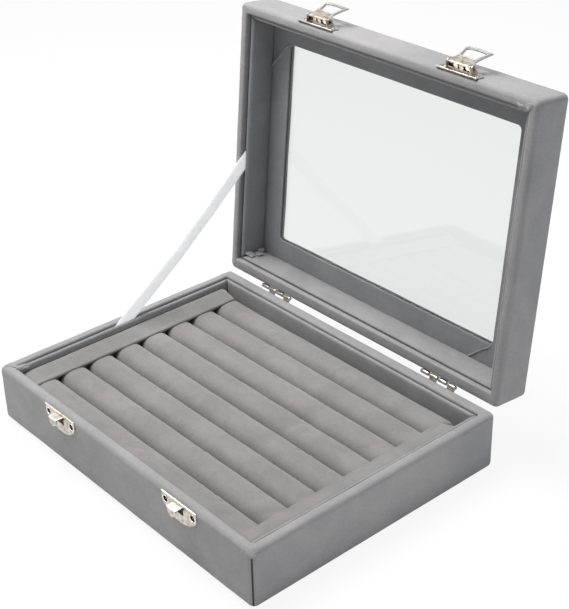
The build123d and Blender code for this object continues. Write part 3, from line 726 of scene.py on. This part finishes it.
def window(outset, radius):
    """The window's outline, moved out by a few mm."""
    return loop(
        -window_x - outset, window_x + outset, -window_y - outset, window_y + outset, radius,
    )


lid_foot, shoulder = lid_rim + edge_round, lid_top - edge_round
over_rim, under_top = lid_rim + velvet_thick, lid_top - velvet_thick
rows = stack(mouth, [(0.0, z) for z in (39.8, 37.0, 34.8)])
rows += stack(mouth, [(mouth_round - c, lid_rim + mouth_round - s)
                      for s, c in swing(mouth_round, 7, 15)])
rows += [at_height(between(mouth(mouth_round), outside(edge_round), share), lid_rim - 0.04)
         for share in (0.33, 0.67)]
rows += stack(outside, [(edge_round - s, lid_foot - c) for s, c in swing(edge_round, 10, 10)])
rows += stack(outside, [(0.0, lid_foot + (shoulder - lid_foot) * k / 12) for k in range(1, 12)])
rows += stack(outside, [(edge_round - c, shoulder + s) for s, c in swing(edge_round, 10, 10)])
rows += [at_height(between(outside(edge_round), window(window_edge, 1.9), share), lid_top)
         for share in (0.12, 0.3, 0.5, 0.7, 0.88)]
rows += [at_height(window(window_edge - s, 1.5), lid_top - window_edge + c)
         for s, c in swing(window_edge, 6, 18)]
rows += [at_height(window(outset, radius), z) for outset, radius, z in (
    (0.0, 1.5, 51.7), (velvet_thick, 2.3, 51.7), (velvet_thick, 2.3, under_top))]
rows += stack(outside, [
    (edge_round, under_top), (1.3, 52.3), (velvet_thick, shoulder), (velvet_thick, lid_foot),
    (1.3, 33.1), (edge_round, over_rim),
])
rows += stack(mouth, [(velvet_thick, z) for z in (over_rim, 34.0, 39.8)])
lid_wrap = skin("lid_wrap", rows, closed=True)


def lid_wrap_swell(p):
    """Soft waves, and tucks at the rim's corners."""
    if (in_mouth(p) and p.z < 50.0) or hidden_inside(p, 32.4, 53.0):
        return 0.0
    swell = uneven(p, 26.0, 0.18, 6.0) + uneven(p, 8.0, 0.06, 1.4)
    near, tuck_reach = corner_spot(p), 10.0
    if near < tuck_reach:
        rim = max(0.0, min(1.0, (38.0 - p.z) / 4.0))
        swell += (1 - near / tuck_reach) * rim * uneven(p, 2.4, 0.5, 2.9)
    return swell


press(lid_wrap, lid_wrap_swell)
barrel_room = 1.5  # the wrap stays this far from the middle of the hinge barrels
for vertex in lid_wrap.data.vertices:
    off = Vector((vertex.co.y - hinge_y, vertex.co.z - hinge_z))
    beside = min(abs(vertex.co.x - left_hinge), abs(vertex.co.x - right_hinge)) - half_leaf - 0.6
    if off.length < barrel_room and beside < 0:
        off = off.normalized() * barrel_room
        vertex.co.y, vertex.co.z = hinge_y + off.x, hinge_z + off.y
sew_on(lid_wrap, [
    tuck((90.6, -71.2, 32.6), (2.9, 1.8, 1.2), 12, 5.0),
    tuck((94.6, -72.0, 32.4), (2.8, 2.0, 1.05), -20, 7.0),
    fold((97.6, -73.7, 31.95), (95.3, -71.6, 31.9), 0.7, -0.3),
    tuck((-92.4, 70.9, 32.25), (2.2, 1.4, 0.9), 30, 9.0),
    fold((-97.6, 73.6, 31.95), (-94.9, 70.2, 31.9), 0.6, -0.3),
])
settle(lid_wrap, lid_stand, wrap_velvet)
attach(lid_wrap, "lid")
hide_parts("lid_velvet_wrap")

# -------- window liner
# A card frame covered with velvet inside the lid, round the window. The velvet is
# slit from the corners of the window, and its folds show as ridges at three of them.
# A darker, bluer copy of the lining velvet, as painted shade, for the window liner and the lid's
# left lining.
painted_shade_velvet = velvet("painted_shade_velvet", (0.212, 0.218, 0.226), (0.256, 0.260, 0.268), 36.0, 0.22)
liner_face, liner_edge = 49.6, 0.4
liner_outer = loop(-95.4, 95.4, -71.4, 70.0, 0.6)
rows = [at_height(liner_outer, liner_face + 0.8), at_height(liner_outer, liner_face)]
rows += [at_height(between(liner_outer, window(0.5, 3.0), share), liner_face)
         for share in (0.2, 0.35, 0.5, 0.65, 0.8, 0.92)]
rows += [at_height(window(liner_edge - s, 2.6), liner_face + liner_edge - c)
         for s, c in swing(liner_edge, 7, 30)]
window_liner = skin("window_liner_pad", rows, closed=True)


def window_liner_swell(p):
    """Soft waves of the velvet over its card."""
    if p.z > 49.95 or abs(p.x) > 90.5 or abs(p.y + 0.7) > 66.5:
        return 0.0
    return 0.06 + uneven(p, 20.0, 0.06, 9.0)


press(window_liner, window_liner_swell)
sew_on(window_liner, [
    fold((-78.9, -56.0, 49.62), (-94.6, -38.8, 49.6), 1.0, -1.3),
    fold((78.9, 55.6, 49.62), (63.6, 68.6, 49.6), 0.75, -0.5),
    fold((79.0, -56.2, 49.62), (91.5, -66.8, 49.6), 0.6, -0.28),
])
settle(window_liner, lid_stand, painted_shade_velvet)
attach(window_liner, "lid")
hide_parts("window_liner")

# -------- linings of the lid
# Fatter padded strips on the four walls inside the lid; their ends are tucked into
# each other at the corners.
lid_thick, lid_back_thick = 3.3, 2.4
lid_linings = {
    "right": (lid_thick, (lid_thick, lid_back_thick)),
    "left": (lid_thick, (lid_back_thick, lid_thick)),
    "back": (lid_back_thick, (lid_thick, lid_thick)),
    "front": (lid_thick, (lid_thick, lid_thick)),
}
for seed, (side, (thickness, cuts)) in enumerate(lid_linings.items()):
    name = f"lid_{side}_liner"
    strip = lining(
        name + "_pad", walls[side], thickness, cuts, (liner_face, lid_foot), 0.8, 11.0 + seed,
    )
    if side == "back":
        sew_on(strip, [
            tuck((-89.6, 66.3, 38.0), (3.2, 1.1, 2.5), 12, 3.0),
            tuck((-88.4, 66.6, 42.4), (3.6, 0.9, 3.0), -8, 11.0),
            tuck((-90.6, 66.0, 46.6), (1.9, 1.0, 2.4), 5, 13.0),
        ])
    # The left lining takes the darker velvet as painted shade.
    settle(strip, lid_stand, painted_shade_velvet if side == "left" else lining_velvet)
    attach(strip, "lid")
    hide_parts(name)

# -------- window glass
# A clear pane, 1.3 mm thick, in a pocket of the window board under the velvet.
clear_glass, tree, surface = new_material("clear_glass")
smears = mottled(tree, 22.0, 3.0)
principled(tree, surface, {
    "Base Color": (0.82, 0.833, 0.83, 1), "Roughness": spread(tree, smears, 0.0, 0.05, 0.4, 0.75),
    "Metallic": 0.0, "Transmission Weight": 1.0, "IOR": 1.46,
})
finish_node("window_glass", clear_glass)

# -------- stay ribbon
# A white satin ribbon, about 8 mm wide, glued behind the left lining of the tray and of
# the lid; it is taut while the lid stands open.
satin, tree, surface = new_material("satin")
tilted = place(tree, "Mapping", {
    "Vector": on_piece(tree), "Rotation": (radians(37.8), 0, 0),
}).outputs[0]
weave = maths(
    tree, "MULTIPLY", woven(tree, tilted, 700.0, 1.0, "Z"), woven(tree, tilted, 480.0, 0.8, "Y"),
)
flecked = maths(tree, "ADD", mottled(tree, 520.0, 4.0, 0.7), weave)
ribbon_colour = toned(tree, flecked, (0.60, 0.615, 0.64, 1), (0.99, 0.99, 1.0, 1))
# The ribbon also glows faintly in its own colour: painted light, brightening the satin beyond what
# the lamps give it.
principled(tree, surface, {
    "Base Color": ribbon_colour, "Roughness": spread(tree, weave, 0.32, 0.5),
    "Normal": bumps(tree, weave, 0.5, 0.0002), "Sheen Weight": 0.2, "Anisotropic": 0.4,
    "Emission Color": ribbon_colour, "Emission Strength": 0.45,
})

ribbon_x, half_width, half_thick, glued = -94.55, 3.9, 0.13, 13.0
tray_reach, lid_reach = 75.7, 62.5
tray_exit = Vector((hinge_y - tray_reach, tray_rim))
lid_exit = Vector((
    hinge_y - lid_reach * cos(opened) - 0.5 * sin(opened),
    hinge_z + lid_reach * sin(opened) - 0.5 * cos(opened),
))
line = (lid_exit - tray_exit).normalized()
side = Vector((-line.y, line.x))
ribbon_foot, ribbon_head = tray_exit - line * glued, lid_exit + line * glued
ribbon_length = (ribbon_head - ribbon_foot).length
ribbon_section = [(-half_width, 0.0)]
ribbon_section += [(across, half_thick) for across in (-3.8, -1.7, 0.0, 1.7, 3.8)]
ribbon_section += [(half_width, 0.0)]
ribbon_section += [(across, -half_thick) for across in (3.8, 1.7, 0.0, -1.7, -3.8)]
rows = []
for step in range(101):
    t = step / 100
    centre = ribbon_foot + (ribbon_head - ribbon_foot) * t
    clear = (t * ribbon_length - glued) / (ribbon_length - 2 * glued)
    free = max(0.0, sin(pi * min(1.0, max(0.0, clear))))
    ring = []
    for across, thick in ribbon_section:
        wave = uneven((t * ribbon_length, across, 1.0), 16.0, 0.35)
        bow = free * (0.5 + wave + 0.03 * (half_width ** 2 - across ** 2))
        spot = centre + side * (across - 0.9 * free)
        ring.append((ribbon_x + thick + bow, spot.x, spot.y))
    rows.append(ring)
ribbon = skin("stay_ribbon", rows)
settle(ribbon, stand, satin)
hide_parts("lid_stay_ribbon")
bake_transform(ribbon)

# -------- catches on the tray
# A plate of warm nickel-plated steel with an ear at each end, nailed to the front wall;
# a tab is pressed out of its middle and turned down in front as a round flap.
# Blotches in the plating's colour, bright to dull: partly worn plating, partly painted reflection
# standing in for what the metal mirrors.
plate_wear_and_reflections, given, out = surface_group("plate_wear_and_reflections", (
    ("Bright", "Color"), ("Dull", "Color"), ("Polish", "Float"),
))
clouds = mottled(plate_wear_and_reflections, 420.0, 4.0, 0.6, 0.8)
scuffs = mottled(plate_wear_and_reflections, 1800.0, 3.0, 0.7)
dull = spread(plate_wear_and_reflections, clouds, 0.0, 1.0, 0.44, 0.62)
colour = toned(plate_wear_and_reflections, dull, given["Bright"], given["Dull"])
rough = maths(plate_wear_and_reflections, "MULTIPLY_ADD", scuffs, 0.16, given["Polish"])
plate_wear_and_reflections.links.new(colour, out["Colour"])
plate_wear_and_reflections.links.new(rough, out["Roughness"])
plate_wear_and_reflections.links.new(scuffs, out["Height"])


def plated(name, bright, dull, polish):
    """A plated metal of its own tone over the shared blotches: worn plating and painted
    reflections.
    """
    made, tree, surface = new_material(name)
    wear_and_reflections = place(tree, "Group", {
        "Bright": (*bright, 1), "Dull": (*dull, 1), "Polish": polish,
    }, node_tree=plate_wear_and_reflections).outputs
    principled(tree, surface, {
        "Base Color": wear_and_reflections["Colour"], "Roughness": wear_and_reflections["Roughness"],
        "Normal": bumps(tree, wear_and_reflections["Height"], 0.08, 0.0001), "Metallic": 1.0,
    })
    return made


warm_nickel = plated("warm_nickel", (0.66, 0.615, 0.56), (0.40, 0.355, 0.305), 0.2)
# Lighter plating, used only as painted highlight: on the hook's top, along the plates' straight
# edges, round the nail holes and round the hasp's eye.
painted_highlight_nickel = plated("painted_highlight_nickel", (0.90, 0.865, 0.81), (0.78, 0.73, 0.66), 0.24)
brushed_nickel = plated("brushed_nickel", (0.50, 0.445, 0.385), (0.38, 0.33, 0.28), 0.36)
# Near-black metal, used only as painted shade: in the nail holes, behind the catch's opening, under
# its hook and inside the hasp's windows.
painted_shade_metal = plated("painted_shade_metal", (0.075, 0.06, 0.05), (0.035, 0.028, 0.024), 0.5)


def arc_through(start, middle, end, steps):
    """Points along the circle through three points, without the last one."""
    start, middle, end = complex(*start), complex(*middle), complex(*end)
    ratio = (end - start) / (middle - start)
    centre = start + (middle - start) * (ratio - abs(ratio) ** 2) / (2j * ratio.imag)
    arm = start - centre
    to_middle, sweep = (phase((spot - centre) / arm) % (2 * pi) for spot in (middle, end))
    if to_middle > sweep:
        sweep -= 2 * pi
    spots = [centre + arm * rect(1.0, sweep * k / steps) for k in range(steps)]
    return [(spot.real, spot.imag) for spot in spots]


def eared_outline(width, height, foot, down):
    """The plate's outline from its straight edge at `foot`, down (-1) or up (1)."""
    ear, lobe, shoulder = width / 2, 4.8, height - 0.6
    bulge = ((ear + lobe) / 2 + 0.5, (5.0 + shoulder) / 2 + 0.6)
    spots = [(-ear, 0.0), (ear, 0.0), (ear + 0.1, 4.6), (ear - 0.5, 5.2), (ear - 0.4, 5.5)]
    spots += arc_through((ear - 0.4, 5.6), bulge, (lobe, shoulder), 9)
    spots += arc_through((lobe, shoulder), (0.0, height), (-lobe, shoulder), 10)
    spots += arc_through((-lobe, shoulder), (-bulge[0], bulge[1]), (0.4 - ear, 5.6), 9)
    spots += [(0.4 - ear, 5.6), (0.5 - ear, 5.2), (-ear - 0.1, 4.6)]
    return [(x, foot + down * y) for x, y in spots]


def box_outline(left, right, low, high):
    """The outline of a rectangle."""
    return [(left, low), (right, low), (right, high), (left, high)]


def round_hole(x, y, radius):
    """A round hole for a flat sheet."""
    return [(x + radius * cos(pi * k / 12), y + radius * sin(pi * k / 12)) for k in range(24)]


def cut_sheet(outlines, thickness, edge, lift=0.0):
    """A flat sheet of metal with its holes, its edges eased, lying from z = lift up."""
    drawing = bpy.data.curves.new("drawing", "CURVE")
    drawing.dimensions, drawing.fill_mode = "2D", "BOTH"
    drawing.extrude, drawing.bevel_depth = thickness / 2 - edge, edge
    drawing.bevel_resolution = 2
    for outline in outlines:
        line = drawing.splines.new("POLY")
        line.points.add(len(outline) - 1)
        for point, (x, y) in zip(line.points, outline):
            point.co = (x, y, 0.0, 1.0)
        line.use_cyclic_u = True
    holder = bpy.data.objects.new("drawing", drawing)
    sheet = bpy.data.meshes.new_from_object(holder)
    bpy.data.objects.remove(holder)
    bpy.data.curves.remove(drawing)
    sheet.transform(Matrix.Translation((0, 0, lift + thickness / 2)))
    return sheet


def turned(profile, x, y, steps=24):
    """A round form about a line through (x, y): profile is (radius, height) points."""
    turns = [2 * pi * k / steps for k in range(steps)]
    return skin_mesh("turned", [
        [(x + r * cos(turn), y + r * sin(turn), z) for turn in turns] for r, z in profile
    ])


def painted(mesh, index):
    """Puts a whole mesh in one of its piece's materials."""
    for face in mesh.polygons:
        face.material_index = index
    return mesh


def metal_piece(name, meshes, goes_to, materials, body, node):
    """Joins metal meshes into one crisp piece that stands for a node of the frame."""
    made = bmesh.new()
    for mesh in meshes:
        made.from_mesh(mesh)
        bpy.data.meshes.remove(mesh)
    joined = to_mesh(name, made)
    joined.transform(goes_to)
    joined.shade_smooth()
    joined.set_sharp_from_angle(angle=radians(38))
    for material in materials:
        joined.materials.append(material)
    piece = new_piece(name, joined)
    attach(piece, body)
    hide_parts(node)


def on_front(x):
    """Stands a flat drawing against the case's front: x right, y up, z outward."""
    return Matrix(((1, 0, 0, x), (0, 0, -1, -half_depth), (0, 1, 0, 0), (0, 0, 0, 1)))


def catch_hook():
    """The pressed tab, rimmed on top, and its round flap; lighter metal on top is painted
    highlight, near-black metal beneath and behind is painted shade.
    """
    half_width, tab_top, round_from, bend = 3.1, 29.6, 28.2, 0.35
    stations = [(w, tab_top, 0.0) for w in (0.2, 0.7, 0.75, 1.3, 2.2, 3.1, 4.25, 4.3)]
    stations += [(4.7 + bend * sin(radians(t)), tab_top - bend + bend * cos(radians(t)), radians(t))
                 for t in range(0, 91, 18)]
    stations += [(w, v, radians(90)) for w, v in (
        (5.05, 28.95), (4.9, 28.8), (4.6, 28.74), (4.6, 28.4), (4.65, 28.2), (4.75, 27.6),
        (4.8, 27.0), (4.8, 26.4), (4.8, 25.9), (4.75, 25.5), (4.7, 25.25), (4.7, 25.08))]
    rows = []
    for w, v, turn in stations:
        half = half_width
        if v < round_from:
            half = sqrt(max(half_width ** 2 - (round_from - v) ** 2, 0.3))
        sunk = 0.75 <= w <= 4.25 and turn == 0.0
        ring = []
        for u in (-1.0, -0.97, -0.9, -0.76, -0.73, -0.3, 0.3, 0.73, 0.76, 0.9, 0.97, 1.0):
            rise = -0.16 if abs(u) >= 1.0 else -0.04 if abs(u) > 0.96 else 0.0
            if sunk and abs(u) < 0.75:
                rise = -0.2
            if turn > 1.5:
                rise += 0.25 * (1 - u * u) * min(1.0, (28.4 - v) / 1.5 if v < 28.4 else 0.0)
            ring.append((half * u, v + rise * cos(turn), w + rise * sin(turn)))
        for u in (1.0, 0.94, 0.3, -0.3, -0.94, -1.0):
            drop = -0.42 if abs(u) == 1.0 else -0.58
            ring.append((half * u, v + drop * cos(turn), w + drop * sin(turn)))
        rows.append(ring)
    mesh = skin_mesh("hook", rows)
    # The sunk middle of the top is brushed; faces turned down or inward are near-black as painted
    # shade; the rest of the top is lighter as painted highlight.
    for face in mesh.polygons:
        middle, faces = face.center, face.normal
        if abs(middle.x) < 2.3 and 0.7 < middle.z < 4.3 and 29.2 < middle.y < 29.5:
            face.material_index = 1
        elif faces.y < -0.5 or faces.z < -0.5:
            face.material_index = 2
        elif middle.y > 28.85:
            face.material_index = 3
    return mesh


latch_places = {"left": -43.2, "right": 51.2}
plate_width, plate_thick, plate_edge, nail_apart = 24.4, 0.6, 0.14, 9.7
catch_top, catch_height, catch_nails = 30.75, 10.7, 27.2


def nailed_plate(height, foot, down, nails, hole, *openings):
    """A plate with an ear at each end, its nail holes and its other openings."""
    outline = eared_outline(plate_width, height, foot, down)
    holes = [round_hole(n * nail_apart, nails, hole) for n in (-1, 1)]
    return cut_sheet([outline, *holes, *openings], plate_thick, plate_edge)


for side, x in latch_places.items():
    plate = nailed_plate(catch_height, catch_top, -1, catch_nails, 1.65, [
        (-3.3, 24.6), (3.25, 24.6), (3.25, 27.9), (4.2, 28.1), (4.2, 29.3), (-3.3, 29.3),
    ])
    # A thin near-black sheet behind the opening under the tab: painted shade.
    shade = painted(cut_sheet([box_outline(-3.4, 4.3, 24.5, 29.4)], 0.1, 0.02, 0.02), 2)
    # A strip of lighter metal along the plate's straight top edge: painted highlight.
    bend = painted(cut_sheet([box_outline(-12.2, 12.2, 30.42, 30.78)], 0.3, 0.12, 0.5), 3)
    # Rings of lighter metal round the nail holes: painted highlight.
    rims = [painted(turned([(1.62, 0.5), (1.68, 0.72), (1.82, 0.78), (1.98, 0.72), (2.04, 0.5)],
                           n * nail_apart, catch_nails), 3) for n in (-1, 1)]
    metal_piece(f"{side}_catch", [plate, shade, bend, catch_hook(), *rims], stand @ on_front(x),
                [warm_nickel, brushed_nickel, painted_shade_metal, painted_highlight_nickel], "tray",
                f"{side}_catch_plate")


def nail(x, y, foot):
    """A small domed nail with a near-black ring in its hole as painted shade, and its shank in the
    board.
    """
    dome = turned([(0.5, -3.2), (0.5, foot - 0.1), (0.82, foot), (0.84, foot + 0.12),
                   (0.66, foot + 0.26), (0.34, foot + 0.34), (0.08, foot + 0.36)], x, y)
    hole = painted(turned([(1.62, 0.02), (1.62, 0.1)], x, y), 1)
    return [dome, hole]


def nail_row(y, foot):
    """The nails of both latches or both catches."""
    return [part for x in latch_places.values() for n in (-1, 1)
            for part in nail(x + n * nail_apart, y, foot)]


metal_piece("catch_nail_heads", nail_row(catch_nails, 0.15), stand @ on_front(0.0),
            [warm_nickel, painted_shade_metal], "tray", "catch_nails")

# -------- latches on the lid
# The lid's half: a nailed base with two ears and a pin, and a hasp that turns on it,
# curled round the pin and flared like a duck's bill round the opening for the hook.
latch_nickel = plated("latch_nickel", (0.46, 0.42, 0.37), (0.20, 0.17, 0.14), 0.27)
latch_foot, latch_height, latch_nails = 32.15, 9.1, 35.7
pin_out, pin_up, ear_radius, ear_x = 3.1, 35.4, 1.7, 7.4
for side, x in latch_places.items():
    plate = nailed_plate(latch_height, latch_foot, 1, latch_nails, 1.3)
    ears = []
    for n in (-1, 1):
        outline = [(0.3, 33.7), (pin_out, 33.7)]
        outline += [(pin_out + ear_radius * sin(radians(t)), pin_up - ear_radius * cos(radians(t)))
                    for t in range(15, 166, 15)]
        outline += [(pin_out, 37.1), (0.3, 38.8)]
        ear = cut_sheet([outline], plate_thick, 0.16)
        ear.transform(Matrix((
            (0, 0, 1, n * ear_x - plate_thick / 2), (0, 1, 0, 0), (1, 0, 0, 0), (0, 0, 0, 1),
        )))
        ears.append(ear)
    # A strip of lighter metal along the plate's straight edge: painted highlight.
    bend = painted(cut_sheet([box_outline(-12.1, 12.1, 32.12, 32.6)], 0.3, 0.12, 0.5), 1)
    metal_piece(f"{side}_latch_foot", [plate, bend, *ears], lid_stand @ on_front(x),
                [latch_nickel, painted_highlight_nickel], "lid", f"{side}_latch_base")
    finish_node(f"{side}_latch_pin", brushed_nickel)
metal_piece("latch_nail_heads", nail_row(latch_nails, 0.3), lid_stand @ on_front(0.0),
            [warm_nickel, painted_shade_metal], "lid", "latch_nails")

bill_tilt, bill_waist = radians(18.2), 3.8
pale_nickel = plated("pale_nickel", (0.36, 0.365, 0.345), (0.29, 0.29, 0.27), 0.42)


def bill_outline(root, waist, tip, length, crown, start):
    """The bill's outline, or with a start above 0 the opening inside it."""
    whole = start == 0.0
    spots = [(-root, start), (root, start)] + ([(root, 1.9), (waist, bill_waist)] if whole else [])
    flare = (waist, bill_waist) if whole else (root, start)
    middle = (waist + (tip - waist) * 0.34, (start or bill_waist) * 0.5 + length * 0.5)
    right = arc_through(flare, middle, (tip, length), 10)[1:]
    far = arc_through((tip, length), (0.0, length + crown), (-tip, length), 10)
    left = [(-x, y) for x, y in reversed(right)]
    return spots + right + far + left + ([(-waist, bill_waist), (-root, 1.9)] if whole else [])


def hasp_block():
    """The curled block round the pin, with two windows and a slit sunk in its face, lined with
    near-black metal as painted shade.
    """
    centre, corner, face_at, sunk_to = 1.05, 0.6, -1.65, -0.92
    square = []
    for across, up, first in ((1, 1, 0), (-1, 1, 90), (-1, -1, 180), (1, -1, 270)):
        turns = [radians(first + t) for t in (0, 22.5, 45, 67.5, 90)]
        square += [(across * centre + corner * cos(turn), up * centre + corner * sin(turn))
                   for turn in turns]
        if first == 90:
            square += [(face_at, 1.25), (-1.64, 1.22), (-1.64, 0.0), (-1.64, -1.42),
                       (face_at, -1.45)]
    windows = ((-6.3, -2.9), (-0.4, 0.45), (2.8, 6.3))
    edges = [-6.9, -6.75, 6.75, 6.9]
    for low, high in windows:
        edges += [low - 0.02, low, high, high + 0.02]
    rows = []
    for x in sorted(edges):
        open_here = any(low <= x <= high for low, high in windows)
        ease = 0.93 if abs(x) > 6.8 else 1.0
        ring = []
        for f, g in square:
            sunk = open_here and -1.43 < g < 1.23 and -1.645 < f < -1.6
            ring.append((x, (sunk_to if sunk else f) * ease, g * ease))
        rows.append(ring)
    mesh = skin_mesh("block", rows)
    # The sunk faces of the windows and the slit take the near-black metal: painted shade.
    for face in mesh.polygons:
        middle = face.center
        if -1.62 < middle.y < -0.6 and -1.44 < middle.z < 1.24 and abs(middle.x) < 6.4:
            face.material_index = 1
    return mesh


for side, x in latch_places.items():
    bill = cut_sheet([
        bill_outline(6.9, 6.0, 8.0, 12.9, 0.7, 0.0), bill_outline(4.5, 4.5, 6.5, 11.4, 0.7, 4.8),
    ], 0.7, 0.16, 0.85)
    for face in painted(bill, 3).polygons:
        if face.center.y < 3.7:
            face.material_index = 0
    rim = painted(cut_sheet([
        bill_outline(5.75, 5.75, 7.6, 12.5, 0.7, 4.3),
        bill_outline(4.85, 4.85, 6.85, 11.75, 0.7, 4.9),
    ], 0.4, 0.14, 1.5), 3)
    # A ring of lighter metal round the eye: painted highlight.
    eye = turned([(0.5, 0.0), (0.56, 0.22), (0.8, 0.3), (1.04, 0.22), (1.1, 0.0)], 4.9, 0.15)
    eye.transform(Matrix(((1, 0, 0, 0.35), (0, 0, -1, -1.3), (0, 1, 0, 0.35), (0, 0, 0, 1))))
    hasp_stand = Matrix((
        (1, 0, 0, x),
        (0, -sin(bill_tilt), -cos(bill_tilt), -half_depth - pin_out),
        (0, cos(bill_tilt), -sin(bill_tilt), pin_up),
        (0, 0, 0, 1),
    ))
    metal_piece(f"{side}_hasp", [bill, rim, painted(eye, 2), hasp_block()], lid_stand @ hasp_stand,
                [latch_nickel, painted_shade_metal, painted_highlight_nickel, pale_nickel], f"{side}_hasp",
                f"{side}_latch_hasp")

# -------- hinges
# Two small butt hinges of plated steel, let into the back boards under the velvet, so
# that only their rolled knuckles and the dark joints between them show.
hinge_nickel = plated("hinge_nickel", (0.40, 0.375, 0.34), (0.24, 0.22, 0.195), 0.13)
lying = Matrix(((0, 0, 1, 0), (1, 0, 0, 0), (0, 1, 0, 0), (0, 0, 0, 1)))
knuckle = half_leaf / 2
knuckle_profile = [
    (0.52, 0.0), (0.85, 0.06), (1.08, 0.32), (1.15, 0.7),
    (1.15, 4.9), (1.08, 5.28), (0.85, 5.54), (0.52, 5.6),
]


def hinge_leaf(x, first, low, high):
    """One leaf in the shut case: a plate in the board, webs, and every second knuckle."""
    plate = cut_sheet([box_outline(-half_leaf, half_leaf, low, high)], 0.5, 0.08)
    plate.transform(Matrix(((1, 0, 0, x), (0, 0, 1, 74.72), (0, 1, 0, 0), (0, 0, 0, 1))))
    parts = [plate]
    near = low if abs(low - hinge_z) < abs(high - hinge_z) else high
    for number in (first, first + 2):
        left = x - half_leaf + number * knuckle + 0.15
        curl = turned(knuckle_profile, hinge_y, hinge_z)
        curl.transform(Matrix.Translation((left, 0, 0)) @ lying)
        web = cut_sheet([[
            (75.0, near), (75.2, near), (hinge_y - 0.1, hinge_z - 0.4),
            (hinge_y - 0.1, hinge_z + 0.4), (74.75, near),
        ]], 4.8, 0.04)
        web.transform(Matrix.Translation((left + 0.4, 0, 0)) @ lying)
        parts += [curl, web]
    return parts


hinge_pins = plated("hinge_pins", (0.13, 0.12, 0.11), (0.07, 0.065, 0.06), 0.45)
for side, x in (("left", left_hinge), ("right", right_hinge)):
    metal_piece(f"{side}_tray_leaf", hinge_leaf(x, 1, 19.7, 28.7), stand,
                [hinge_nickel], "tray", f"{side}_hinge_tray_leaf")
    metal_piece(f"{side}_lid_leaf", hinge_leaf(x, 0, 34.3, 43.3), lid_stand,
                [hinge_nickel], "lid", f"{side}_hinge_lid_leaf")
    finish_node(f"{side}_hinge_pin", hinge_pins)
finish_node("hinge_nails_tray", hinge_nickel)
finish_node("hinge_nails_lid", hinge_nickel)
